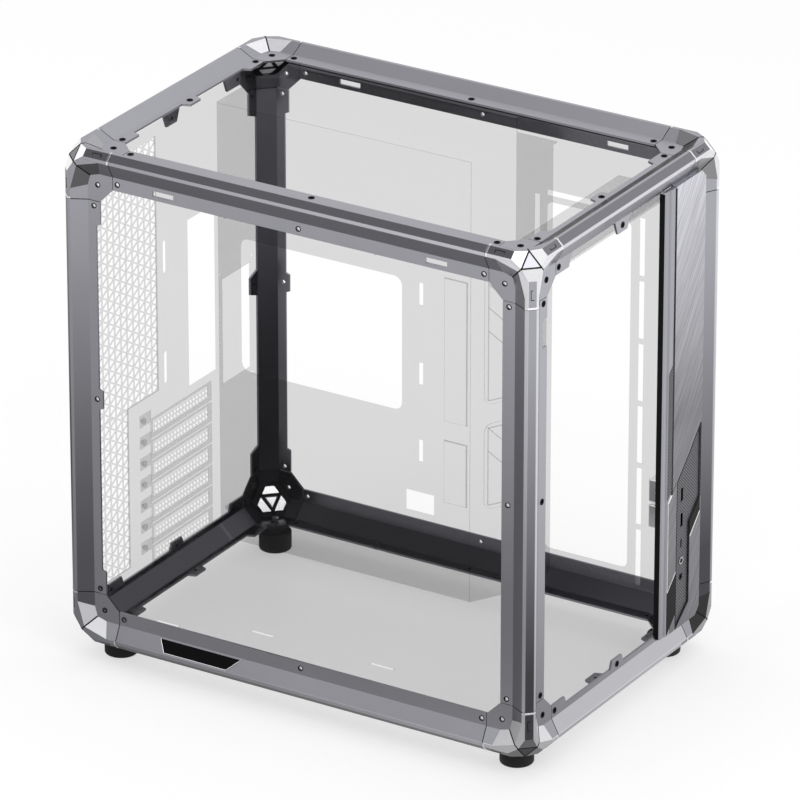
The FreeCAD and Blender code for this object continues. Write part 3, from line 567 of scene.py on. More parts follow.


# Painted reflections of studio flags: black ones round the frame, a white one low at its front and more
# black ones at its corners, put on the faces that look to them as painted shade and a painted highlight
PAINTED_REFLECTIONS = (
    PaintedReflection((-0.592, -0.806, 0.0), 0.8, 0.05, close=0.97),
    PaintedReflection((-0.886, 0.463, 0.0), 0.42, 0.25),
    PaintedReflection((-0.886, 0.0, -0.463), 0.0, 0.22),
    PaintedReflection((-0.886, -0.463, 0.0), 0.5, 0.0, close=0.995),
    PaintedReflection((-0.707, 0.707, 0.0), 0.3, 0.92),
    PaintedReflection((-0.707, 0.0, -0.707), 0.72, 0.72),
    PaintedReflection((0.0, 0.463, 0.886), 0.92, 0.92),
    PaintedReflection((0.0, -0.707, 0.707), 0.4, 0.4),
    PaintedReflection((0.0, -1.0, 0.0), 0.22, 0.0),
    PaintedReflection((0.0, -1.0, 0.0), 0.38, 0.05, right_of=0.1),
)
BEAM_PAINTED_REFLECTIONS = PAINTED_REFLECTIONS + (PaintedReflection((0.0, -0.886, 0.463), 0.25, 0.25, tone="#ffffff"),)
CORNER_PAINTED_REFLECTIONS = PAINTED_REFLECTIONS + (
    PaintedReflection((-1.0, -1.0, -1.0), 0.85, 0.85, close=0.97),
    PaintedReflection((-0.86, -0.317, -0.317), 0.75, 0.75, close=0.95),
    PaintedReflection((-0.317, -0.86, -0.317), 0.7, 0.7, close=0.95),
    PaintedReflection((-0.317, -0.86, 0.317), 0.9, 0.9, close=0.95),
    PaintedReflection((-0.317, 0.317, 0.86), 0.6, 0.6, close=0.95),
    PaintedReflection((0.317, -0.317, 0.86), 0.5, 0.5, close=0.95),
    PaintedReflection((-0.143, -0.86, 0.49), 0.85, 0.85, close=0.995),
)

FINISHES: dict[Slot, Finish] = {
    # Grey anodised extrusion: satin, holds soft reflections; inner faces carry painted shade, lands a
    # painted highlight, and faces that look one way painted reflections
    Slot.BEAM: BlastedMetal(
        "anodised_aluminium_extrusion",
        "#a9a9b0",
        1.0,
        0.3,
        inner="#6c6c73",
        ridge="#d6d6dc",
        painted_reflections=BEAM_PAINTED_REFLECTIONS,
    ),
    # Grey anodised casting with bright diamond-cut facets that fade to the foot as painted shade; inner
    # faces carry painted shade, lands a painted highlight, and faces that look one way painted reflections
    Slot.CASTING: BlastedMetal(
        "anodised_aluminium_casting",
        "#a6a6ad",
        1.0,
        0.24,
        inner="#46464b",
        facet="#fafafc",
        ridge="#e6e6ea",
        bevel="#eeeef2",
        painted_reflections=CORNER_PAINTED_REFLECTIONS,
    ),
    # Matt black moulded rubber
    Slot.RUBBER: MouldedSurface("moulded_black_rubber", "#121212", 0.0, 0.7),
    # Zinc plated steel: bright grey
    Slot.SCREW: BlastedMetal("zinc_plated_steel", "#8c8c90", 1.0, 0.35),
    # Diamond-cut bare aluminium: nearly white
    Slot.FACET: BlastedMetal("diamond_cut_aluminium", "#f6f6f8", 1.0, 0.2, edge=0.15 * MM),
    # Satin black enamel
    Slot.PLATE: MouldedSurface("black_enamel", "#08080a", 0.0, 0.45, shine=0.12),
    # Brushed aluminium, brush lines on the diagonal
    Slot.STRIP: BrushedMetal("brushed_aluminium_strip", "#b4b4ba", 1.0, 0.34),
    # Satin aluminium rail
    Slot.RAIL: BlastedMetal("satin_aluminium_rail", "#a2a2a9", 1.0, 0.34),
    # Hatched dark plastic
    Slot.INSET: HatchedPlastic("hatched_dark_plastic", "#5c5c61", 0.2, 0.45),
    # Nickel plated steel
    Slot.SOCKET: BlastedMetal("nickel_plated_steel", "#6e6e72", 1.0, 0.3),
    # Black moulded plastic
    Slot.PLASTIC: MouldedSurface("moulded_black_plastic", "#0b0b0c", 0.0, 0.55, shine=0.2),
    # Satin silver button
    Slot.BUTTON: BlastedMetal("satin_silver_button", "#b4b4b8", 1.0, 0.35),
    # Smoke-tinted clear acrylic
    Slot.SHEET: ClearSheet("smoke_tinted_acrylic", "#343436", 0.0, 0.25),
}


# Modelling by hand


def begin(name: str, add: Callable[..., Any], **settings: Any) -> Piece:
    """Deselect everything and add a primitive.

    Args:
        name: Name of the piece.
        add: Operator that adds the primitive.
        settings: Size and place of the primitive.

    Returns:
        The new object.
    """
    bpy.ops.object.select_all(action="DESELECT")
    add(**settings)
    piece = bpy.context.object
    piece.name = name
    piece.data.name = name
    bpy.ops.object.transform_apply(location=True, rotation=True, scale=True)
    return piece


def edit() -> None:
    """Go to edit mode with every face selected."""
    bpy.ops.object.mode_set(mode="EDIT")
    bpy.ops.mesh.select_mode(type="FACE")
    bpy.ops.mesh.select_all(action="SELECT")


def leave() -> None:
    """Go back to object mode."""
    bpy.ops.object.mode_set(mode="OBJECT")


def leave_outward() -> None:
    """Turn all normals of the edited mesh outwards and go back to object mode."""
    bpy.ops.mesh.select_all(action="SELECT")
    bpy.ops.mesh.normals_make_consistent(inside=False)
    leave()


def block(
    name: str, add: Callable[..., Any], size: Sequence[float], place: Sequence[float], **settings: Any
) -> Piece:
    """Add a primitive of size one, then scale it about the origin and move it.

    Args:
        name: Name of the piece.
        add: Operator that adds the primitive.
        size: Size along each axis.
        place: How far it is moved.
        settings: Other settings of the primitive.

    Returns:
        The new object, in edit mode and selected.
    """
    piece = begin(name, add, size=1, **settings)
    edit()
    bpy.ops.transform.resize(value=size, center_override=(0.0, 0.0, 0.0))
    bpy.ops.transform.translate(value=place)
    return piece


def middle(element: Any) -> Vector:
    """Middle of a vertex, an edge or a face."""
    if hasattr(element, "co"):
        return element.co
    points = [v.co for v in element.verts]
    return sum(points, Vector()) / len(points)


def select(kind: Element, test: Callable[[Any, Vector], bool]) -> None:
    """Select the elements of the edited mesh that pass a test.

    Args:
        kind: Kind of element.
        test: Called with each element and its middle.
    """
    bpy.ops.mesh.select_mode(type=kind.value)
    bpy.ops.mesh.select_all(action="DESELECT")
    mesh = bmesh.from_edit_mesh(bpy.context.object.data)
    for element in [e for e in getattr(mesh, kind.name.lower()) if test(e, middle(e))]:
        element.select_set(True)
    mesh.select_flush_mode()
    bmesh.update_edit_mesh(bpy.context.object.data)


def extrude(reach: Sequence[float]) -> None:
    """Extrude the selected faces."""
    bpy.ops.mesh.extrude_region_move(TRANSFORM_OT_translate={"value": reach})


def pull(test: Callable[[Vector], bool], reach: Sequence[float]) -> None:
    """Extrude the outer edges that pass a test.

    Args:
        test: Called with the middle of each edge.
        reach: How far the new edges move.
    """
    select(Element.EDGES, lambda line, at: line.is_boundary and test(at))
    bpy.ops.mesh.extrude_edges_move(TRANSFORM_OT_translate={"value": reach})


def split(point: Sequence[float], normal: Sequence[float], cut: bool = False, fill: bool = False) -> None:
    """Split the edited mesh along a plane.

    Args:
        point: Point of the plane.
        normal: Normal of the plane.
        cut: Whether the side that the normal points to is removed.
        fill: Whether the cut is closed.
    """
    bpy.ops.mesh.select_all(action="SELECT")
    bpy.ops.mesh.bisect(plane_co=point, plane_no=normal, clear_outer=cut, use_fill=fill)


def thicken(piece: Piece, thickness: float, offset: float) -> None:
    """Leave edit mode and give a sheet its thickness.

    Args:
        piece: Edited sheet.
        thickness: Its thickness.
        offset: Side that the thickness goes to, from -1 to 1.
    """
    leave()
    bpy.context.view_layer.objects.active = piece
    modifier = piece.modifiers.new("solidify", "SOLIDIFY")
    modifier.thickness = thickness
    modifier.offset = offset
    bpy.ops.object.modifier_apply(modifier=modifier.name)


def thicken_outward(piece: Piece, thickness: float, offset: float) -> None:
    """Give an edited sheet its thickness, then turn its normals outwards."""
    thicken(piece, thickness, offset)
    edit()
    leave_outward()


def joined(name: str, pieces: Sequence[Piece]) -> Piece:
    """Join pieces to one piece.

    Args:
        name: Name of the joined piece.
        pieces: Pieces to join.

    Returns:
        The joined piece.
    """
    bpy.ops.object.select_all(action="DESELECT")
    for piece in pieces:
        piece.select_set(True)
    bpy.context.view_layer.objects.active = pieces[0]
    bpy.ops.object.join()
    pieces[0].name = name
    pieces[0].data.name = name
    return pieces[0]


def copied(name: str, template: Piece, places: Iterable[Matrix]) -> Piece:
    """Copy a piece to several places and join the copies to one piece.

    Args:
        name: Name of the joined piece.
        template: Piece that is copied and then removed.
        places: One matrix for each copy.

    Returns:
        The joined piece.
    """
    copies = []
    for place in places:
        mesh = template.data.copy()
        mesh.transform(place)
        if place.determinant() < 0:
            mesh.flip_normals()
        copies.append(bpy.data.objects.new(name, mesh))
        bpy.context.scene.collection.objects.link(copies[-1])
    bpy.data.objects.remove(template)
    return joined(name, copies)


def bar(first: Vector, second: Vector, outward: Vector, width: float, height: float) -> Piece:
    """Model a bar with eased upper edges between two points.

    Args:
        first: Start of the bar, in the middle of its upper side.
        second: End of the bar, in the middle of its upper side.
        outward: Direction of its upper side.
        width: Width of the bar.
        height: Height of the bar.

    Returns:
        The bar.
    """
    along = second - first
    side = outward.cross(along).normalized()
    up = along.cross(side).normalized()
    basis = Matrix((along.normalized(), side, up)).transposed().to_4x4()
    piece = block("bar", bpy.ops.mesh.primitive_cube_add, (along.length, width, height), (0.0, 0.0, 0.0))
    select(Element.EDGES, lambda line, at: at.z > height / 4 and abs(at.y) > width / 4)
    bpy.ops.mesh.bevel(offset=min(width, height) / 5, segments=1, affect="EDGES")
    leave()
    piece.data.transform(Matrix.Translation((first + second) / 2 - up * height / 2) @ basis)
    return piece


def chain(name: str, points: Sequence[Vector], outward: Vector, width: float, height: float) -> Piece:
    """Model bars along a path.

    Args:
        name: Name of the piece.
        points: Points of the path, on the upper side of the bars.
        outward: Direction of their upper side.
        width: Width of the bars.
        height: Height of the bars.

    Returns:
        The joined bars.
    """
    return joined(name, [bar(a, b, outward, width, height) for a, b in zip(points, points[1:])])


def plate(points: Sequence[Vector], thickness: float) -> Piece:
    """Model a flat plate with four given corners.

    Args:
        points: Corners of its outer side, anticlockwise as seen from outside.
        thickness: Thickness behind the outer side.

    Returns:
        The plate.
    """
    outward = (points[1] - points[0]).cross(points[2] - points[1]).normalized()
    piece = begin("plate", bpy.ops.mesh.primitive_plane_add, size=2)
    edit()
    for start, point in zip(((-1, -1, 0), (1, -1, 0), (1, 1, 0), (-1, 1, 0)), points):
        select(Element.VERTS, lambda v, at: (at - Vector(start)).length < MM)
        bpy.ops.transform.translate(value=point - Vector(start))
    select(Element.FACES, lambda face, at: True)
    extrude(-thickness * outward)
    leave_outward()
    return piece


class Palette:
    """The materials of all finishes, each made once."""

    def __init__(self) -> None:
        """Make every material."""
        self.materials = {slot: finish.make() for slot, finish in FINISHES.items()}

    def dress(self, piece: Piece, slot: Slot) -> None:
        """Put a finish on a piece or a CAD node."""
        piece.data.materials.clear()
        piece.data.materials.append(self.materials[slot])

    def place(self, piece: Piece, slot: Slot, body: str = CASE, replaced: Sequence[str] = ()) -> None:
        """Dress a finished piece and let it ride on its body.

        Args:
            piece: Finished piece.
            slot: Material slot that it takes its finish from.
            body: Body that it moves with.
            replaced: CAD nodes that it stands for.
        """
        self.dress(piece, slot)
        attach(piece, body)
        if replaced:
            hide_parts(*replaced)
        LOG.info("%s: %d faces on %s", piece.name, len(piece.data.polygons), body)


@dataclass
class CaseBox:
    """Outer planes of the frame, read from the corner castings, and the profile of its beams.

    Distances count from the outer planes that meet at an edge of the frame.
    """

    low: Vector = field(default_factory=lambda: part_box("corner_bottom_front_left")[0])
    high: Vector = field(default_factory=lambda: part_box("corner_top_rear_right")[1])
    chamfer: float = 5.4 * MM
    ridge_end: float = 8.4 * MM
    slope_end: float = 21.8 * MM
    recess: float = 7.0 * MM
    # Groove between two beams of a corner: where it bends inwards and where that slope ends
    bend: float = 15.0 * MM
    foot: float = 24.5 * MM

    def spot(self, across: float, along: float, up: float) -> Vector:
        """Point at distances from the left, the front and the bottom plane."""
        return self.low + Vector((across, along, up))

    def arms(self) -> list[Matrix]:
        """Matrices from an arm's own distances to the frame.

        Returns:
            One matrix for each of the three arms of the eight corners.
        """
        places = []
        for picks in product((0, 1), repeat=3):
            origin = Vector([(self.low, self.high)[pick][i] for i, pick in enumerate(picks)])
            for order in range(3):
                rows = Matrix.Translation(origin)
                for axis, column in product(range(3), repeat=2):
                    rows[axis][column] = (1 - 2 * picks[axis]) * (column == (axis - order) % 3)
                places.append(rows)
        return places

    def length(self, arm: Matrix) -> float:
        """Length of the frame along an arm."""
        return abs((arm.to_3x3() @ Z).dot(self.high - self.low))

    @staticmethod
    def at_low_end(arm: Matrix) -> bool:
        """Whether an arm starts at the low end of its beam."""
        return sum(arm.to_3x3() @ Z) > 0


@dataclass
class SeamShims:
    """Dark shims and bright bands in the joints between the corner castings and the beams."""

    box: CaseBox
    back: float = 9.0 * MM
    arm: float = 47.0 * MM
    thickness: float = 0.6 * MM
    proud: float = 0.06 * MM
    rim: float = 2.0 * MM
    band_width: float = 1.9 * MM
    band_proud: float = 0.12 * MM

    def build(self, palette: Palette) -> None:
        """Cut one shim from a square, then copy it to every joint."""
        box = self.box
        scale = box.slope_end + 2 * self.proud
        piece = block(
            "seam_shims",
            bpy.ops.mesh.primitive_plane_add,
            (scale, scale, 1.0),
            (-self.proud, -self.proud, self.arm),
            location=(0.5, 0.5, 0.0),
        )
        slope = Vector((box.slope_end - box.ridge_end, box.recess, 0.0)).normalized()
        cuts = (
            (box.chamfer * X, -X - Y),
            (box.ridge_end * X, slope.y * X - slope.x * Y),
            (box.ridge_end * Y, slope.y * Y - slope.x * X),
            (box.slope_end * X + self.back * Y, X + Y),
        )
        for point, outward in cuts:
            split(point + outward.normalized() * self.proud, outward, cut=True)
        select(Element.FACES, lambda face, at: True)
        bpy.ops.mesh.inset(thickness=self.rim)
        bpy.ops.mesh.delete(type="FACE")
        thicken_outward(piece, self.thickness, -1.0)
        low = min(v.co.z for v in piece.data.vertices)
        piece.data.transform(Matrix.Translation((self.arm - low) * Z))
        palette.place(copied("seam_shims", piece, box.arms()), Slot.PLASTIC)
        palette.place(copied("seam_bands", self.band(), box.arms()), Slot.FACET)

    def band(self) -> Piece:
        """Model the bright band over chamfer and ridges.

        Returns:
            The band of one arm.
        """
        box = self.box
        path = (box.ridge_end * X, box.chamfer * X, box.chamfer * Y, box.ridge_end * Y)
        pieces = []
        for first, second, outward in zip(path, path[1:], (-Y, -X - Y, -X)):
            lift = outward.normalized() * self.band_proud + (self.arm - self.thickness) * Z
            pieces.append(bar(first + lift, second + lift, outward, self.band_width, self.thickness))
        return joined("seam_band", pieces)


@dataclass
class CornerBevels:
    """Two long facets and their lands beside the groove on each face of a corner."""

    box: CaseBox
    start: float = 37.6 * MM
    start_foot: float = 33.7 * MM
    ridge_gap: float = 21.6 * MM
    overlap: float = 0.8 * MM
    proud: float = 0.06 * MM
    thickness: float = 1.2 * MM

    def build(self, palette: Palette) -> None:
        """Model the facets of one face, then copy them to every face of every corner."""
        box = self.box
        bend = Vector((box.bend, box.bend, -self.proud))
        start = Vector((box.ridge_end, self.start, -self.proud))
        deep = box.recess - self.proud
        facet = [
            bend,
            start,
            Vector((box.slope_end, self.start_foot, deep)),
            Vector((box.foot, box.foot, deep)),
        ]
        land = [
            start,
            bend,
            Vector((box.bend - 3 * self.overlap, box.bend - self.overlap, -self.proud)),
            Vector((box.ridge_end - self.overlap, self.ridge_gap, -self.proud)),
        ]
        pieces = []
        for points in (facet, land):
            mirrored = [Vector((p.y, p.x, p.z)) for p in reversed(points)]
            pieces += [plate(points, self.thickness), plate(mirrored, self.thickness)]
        bevels = joined("corner_bevels", pieces)
        palette.place(copied("corner_bevels", bevels, box.arms()), Slot.CASTING)


@dataclass
class CornerMarks:
    """Dark lines in the corner grooves and hook-shaped marks on the arms."""

    box: CaseBox
    facet_reach: float = 12.0 * MM
    line: float = 1.7 * MM
    proud: float = 0.12 * MM
    slope_proud: float = 0.35 * MM
    cap_far: float = 27.2 * MM
    cap_mid: float = 24.6 * MM
    cap_near: float = 10.2 * MM
    cap_rise: float = 2.0 * MM
    cap_line: float = 3.5 * MM
    cap_side: float = 6.0 * MM
    hook_start: float = 30.5 * MM
    hook_length: float = 8.0 * MM
    hook_height: float = 2.6 * MM
    hook_line: float = 0.6 * MM

    def build(self, palette: Palette) -> None:
        """Model the lines of one arm, then copy them to every arm."""
        box, reach = self.box, self.facet_reach
        bend = box.bend * (X + Y)
        runs = (
            (reach * (X + Z), reach * (Y + Z), -X - Y - Z, self.proud),
            (reach * (X + Y), bend, -Z, self.proud),
            (bend, box.foot * (X + Y) + box.recess * Z, Vector((0.5, 0.5, -1.0)), self.slope_proud),
        )
        lines = []
        for first, second, outward, proud in runs:
            lift = outward.normalized() * proud
            lines.append(bar(first + lift, second + lift, outward, self.line, self.line))
        inwards = X + Y + Z
        lift = inwards.normalized() * (self.cap_rise + self.proud)
        start = Vector((self.cap_far, self.cap_near, self.cap_mid)) + lift
        end = Vector((self.cap_near, self.cap_far, self.cap_mid)) + lift
        lines.append(bar(start, end, inwards, self.cap_line, self.line))
        centre = inwards * (self.cap_far + self.cap_mid + self.cap_near) / 3 + lift
        across = centre - (start + end) / 2
        across *= 3 + self.cap_side / 2 / across.length
        lines.append(bar(start + across, end + across, inwards, self.cap_side, self.line))
        marks = joined("corner_marks", lines + [self.hook()])
        palette.place(copied("corner_marks", marks, box.arms()), Slot.PLASTIC)

    def hook(self) -> Piece:
        """Model the hook-shaped mark on the chamfer of an arm.

        Returns:
            The mark.
        """
        size = (self.hook_line, self.hook_length, 1.0)
        mark = block("hook_mark", bpy.ops.mesh.primitive_plane_add, size, (0.0, 0.0, 0.0))
        half, near = self.hook_length / 2, self.hook_line / 4
        for end in (-1.0, 1.0):
            pull(lambda at: at.y * end > half - near, (0.0, end * self.hook_line, 0.0))
            reach = self.hook_height if end > 0 else self.hook_height / 2
            pull(lambda at: at.x > near and at.y * end > half, (reach, 0.0, 0.0))
        thicken(mark, near, 1.0)
        across, out = (X - Y).normalized(), (-X - Y).normalized()
        basis = Matrix((across, out.cross(across), out)).transposed().to_4x4()
        place = self.box.chamfer / 2 * (X + Y) + (self.hook_start + half) * Z
        mark.data.transform(Matrix.Translation(place - across * self.hook_height / 2) @ basis)
        return mark


@dataclass
class HoleInserts:
    """Round inserts in the screw holes: narrow rings on the left and right, dark plugs elsewhere."""

    box: CaseBox
    sides: int = 20
    outer: float = 2.9 * MM
    narrow: float = 2.55 * MM
    inner: float = 1.8 * MM
    lip: float = 0.35 * MM
    floor: float = 0.04 * MM
    depth: float = 2.0 * MM
    edge_share: float = 0.9
    hole_line: float = 27.8 * MM
    end_hole: float = 52.0 * MM
    gusset_hole: float = 32.0 * MM

    def build(self, palette: Palette) -> None:
        """Model one insert of each kind, then copy it to its holes."""
        open_places, dark_places = [], []
        for arm in self.box.arms():
            for place in self.holes(arm):
                outward = (place.to_3x3() @ Z).normalized()
                (open_places if abs(outward.x) > ALONG else dark_places).append(place)
        palette.place(copied("open_hole_rings", self.dish(self.narrow), open_places), Slot.PLASTIC)
        palette.place(copied("dark_hole_dishes", self.dish(self.outer), dark_places), Slot.PLASTIC)
        palette.place(copied("dark_hole_plugs", self.plug(), dark_places), Slot.PLASTIC)

    def holes(self, arm: Matrix) -> list[Matrix]:
        """Places of the holes that belong to one arm.

        Args:
            arm: Matrix of the arm.

        Returns:
            Matrices whose third axis points out of the hole.
        """
        deep = self.box.recess
        alongs = [self.end_hole]
        if self.box.at_low_end(arm):
            alongs.append(self.box.length(arm) / 2)
        places = [self.pose(arm, Vector((self.gusset_hole, self.gusset_hole, deep)), 2)]
        for along in alongs:
            places.append(self.pose(arm, Vector((deep, self.hole_line, along)), 0))
            places.append(self.pose(arm, Vector((self.hole_line, deep, along)), 1))
        return places

    @staticmethod
    def pose(arm: Matrix, point: Vector, axis: int) -> Matrix:
        """Matrix of a hole.

        Args:
            arm: Matrix of the arm.
            point: Middle of the hole on the outer side of the flange.
            axis: Number of the distance that the hole goes along.

        Returns:
            Matrix with the third axis pointing outwards.
        """
        out, side = -(X, Y, Z)[axis], (X, Y, Z)[(axis + 1) % 3]
        basis = Matrix((side, out.cross(side), out)).transposed().to_4x4()
        return arm @ Matrix.Translation(point) @ basis

    def disc(self, radius: float, low: float, high: float) -> Piece:
        """Add the round blank that an insert is made from, in edit mode."""
        piece = begin(
            "hole_blank",
            bpy.ops.mesh.primitive_cylinder_add,
            vertices=self.sides,
            radius=radius,
            depth=high - low,
            location=(0.0, 0.0, (low + high) / 2),
        )
        edit()
        return piece

    def dish(self, outer: float) -> Piece:
        """Model a ring with a raised lip that falls inwards.

        Args:
            outer: Outer radius of the ring.

        Returns:
            The ring, with its outer side up.
        """
        piece = self.disc(outer, -self.depth / 4, self.lip)
        select(Element.FACES, lambda face, at: abs(face.normal.z) > ALONG)
        bpy.ops.mesh.inset(thickness=outer - self.inner)
        bpy.ops.mesh.bridge_edge_loops()
        select(Element.VERTS, lambda v, at: at.z > 0 and at.xy.length < (outer + self.inner) / 2)
        bpy.ops.transform.translate(value=(0.0, 0.0, self.floor - self.lip))
        high, far = self.lip * self.edge_share, outer * self.edge_share
        select(Element.EDGES, lambda line, at: at.z > high and at.xy.length > far)
        bpy.ops.mesh.bevel(offset=self.lip / 4, segments=2, affect="EDGES")
        leave()
        bpy.ops.object.shade_smooth_by_angle(angle=SMOOTH_ANGLE)
        return piece

    def plug(self) -> Piece:
        """Model the hollow plug inside a dark hole.

        Returns:
            The plug, with its outer side up.
        """
        piece = self.disc(self.inner, -self.depth, -self.depth / 2)
        select(Element.FACES, lambda face, at: face.normal.z > ALONG)
        bpy.ops.mesh.inset(thickness=self.inner / 3)
        extrude((0.0, 0.0, -self.depth / 4))
        leave()
        return piece


@dataclass
class VentMesh:
    """Sheet with triangular gaps in the rear panel."""

    box: CaseBox
    left: float = 36.0 * MM
    right: float = 128.0 * MM
    narrow_right: float = 80.0 * MM
    bottom: float = 38.0 * MM
    step: float = 190.0 * MM
    top: float = 430.0 * MM
    rim: float = 3.5 * MM
    side: float = 11.0 * MM
    strut: float = 1.7 * MM
    least_gap: float = 14.0 * MM * MM
    node: str = "rear_vent_mesh"

    def build(self, palette: Palette) -> None:
        """Make a lattice of triangles from a grid and give its lines a width."""
        low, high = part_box(self.node)
        depth = high.y - low.y
        column = self.side * math.sqrt(3) / 2
        columns = math.ceil((self.right - self.left + 2 * self.rim) / column)
        rows = math.ceil((self.top - self.bottom + 2 * self.rim) / self.side) + 1
        start = self.box.spot(self.left - self.rim, 0.0, self.bottom - self.rim)
        start.y = low.y + depth / 2
        piece = block(
            "vent_mesh_fine",
            bpy.ops.mesh.primitive_grid_add,
            (columns * column, 1.0, rows * self.side),
            start + Vector((columns * column / 2, 0.0, (rows - 1) * self.side / 2)),
            x_subdivisions=columns,
            y_subdivisions=rows,
            rotation=(math.pi / 2, 0.0, 0.0),
        )
        select(Element.VERTS, lambda v, at: round((at.x - start.x) / column) % 2 == 1)
        bpy.ops.transform.translate(value=(0.0, 0.0, self.side / 2))
        bpy.ops.mesh.select_all(action="SELECT")
        bpy.ops.mesh.quads_convert_to_tris(quad_method="SHORTEST_DIAGONAL")
        for across in (self.left, self.narrow_right, self.right):
            split(self.box.spot(across, 0.0, 0.0), X)
        for up in (self.bottom, self.step, self.top):
            split(self.box.spot(0.0, 0.0, up), Z)
        select(Element.FACES, lambda face, at: not self.inside(at))
        bpy.ops.mesh.delete(type="FACE")
        select(Element.FACES, lambda face, at: face.calc_area() > self.least_gap)
        bpy.ops.mesh.inset(thickness=self.strut / 2, use_individual=True)
        bpy.ops.mesh.delete(type="FACE")
        thicken_outward(piece, depth, 0.0)
        palette.place(piece, Slot.SHEET, replaced=[self.node])

    def inside(self, at: Vector) -> bool:
        """Whether a point lies in the stepped mesh area.

        Args:
            at: Point in the frame.

        Returns:
            True inside the area.
        """
        across, _, up = at - self.box.low
        right = self.narrow_right if up < self.step else self.right
        return self.left < across < right and self.bottom < up < self.top


@dataclass
class SlotCovers:
    """Seven perforated covers of the expansion slots."""

    count: int = 7
    pitch: float = 20.32 * MM
    holes: int = 17
    hole_pitch: float = 5.08 * MM
    hole_land: float = 1.0 * MM
    hole_round: float = 0.75 * MM
    row_height: float = 4.6 * MM
    tab_length: float = 17.0 * MM
    tab_rise: float = 11.2 * MM
    tab_low: float = 6.9 * MM
    half: float = 9.2 * MM

    def build(self, palette: Palette) -> None:
        """Model the top cover, then copy it downwards."""
        low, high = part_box("slot_cover_1")
        centre_up = low.z + self.half
        body_left = low.x + self.tab_length
        band = self.holes * self.hole_pitch
        band_left = (body_left + high.x - band) / 2
        band_right = band_left + band
        cover = block(
            "slot_cover_pattern",
            bpy.ops.mesh.primitive_grid_add,
            (band, 1.0, 2 * self.row_height),
            (band_left + band / 2, high.y, centre_up),
            x_subdivisions=self.holes,
            y_subdivisions=2,
            rotation=(math.pi / 2, 0.0, 0.0),
        )
        bpy.ops.mesh.inset(thickness=self.hole_land, use_individual=True)
        bpy.ops.mesh.bevel(offset=self.hole_round, affect="VERTICES", segments=2)
        bpy.ops.mesh.delete(type="FACE")
        pull(lambda at: abs(at.x - band_left) < CLOSE, (body_left - band_left, 0.0, 0.0))
        pull(lambda at: abs(at.x - band_right) < CLOSE, (high.x - band_right, 0.0, 0.0))
        base, top = centre_up - self.row_height, centre_up + self.row_height
        pull(lambda at: abs(at.z - base) < CLOSE, (0.0, 0.0, self.row_height - self.half))
        pull(lambda at: abs(at.z - top) < CLOSE, (0.0, 0.0, self.tab_low - self.row_height))
        tab_base, tab_top = centre_up + self.tab_low, centre_up + self.half
        pull(lambda at: abs(at.z - tab_base) < CLOSE, (0.0, 0.0, self.half - self.tab_low))
        pull(
            lambda at: abs(at.x - body_left) < CLOSE and at.z > tab_base,
            (-self.tab_length, 0.0, 0.0),
        )
        pull(
            lambda at: abs(at.z - tab_top) < CLOSE and at.x < body_left,
            (0.0, 0.0, self.tab_low + self.tab_rise - self.half),
        )
        thicken_outward(cover, high.y - low.y, -1.0)
        shift = high.y - max(v.co.y for v in cover.data.vertices)
        for number in range(self.count):
            piece = cover.copy()
            piece.data = cover.data.copy()
            piece.data.transform(Matrix.Translation((0.0, shift, -self.pitch * number)))
            piece.name = "slot_cover_vented_%d" % (number + 1)
            bpy.context.scene.collection.objects.link(piece)
            palette.place(piece, Slot.SHEET, replaced=["slot_cover_%d" % (number + 1)])
        bpy.data.objects.remove(cover)


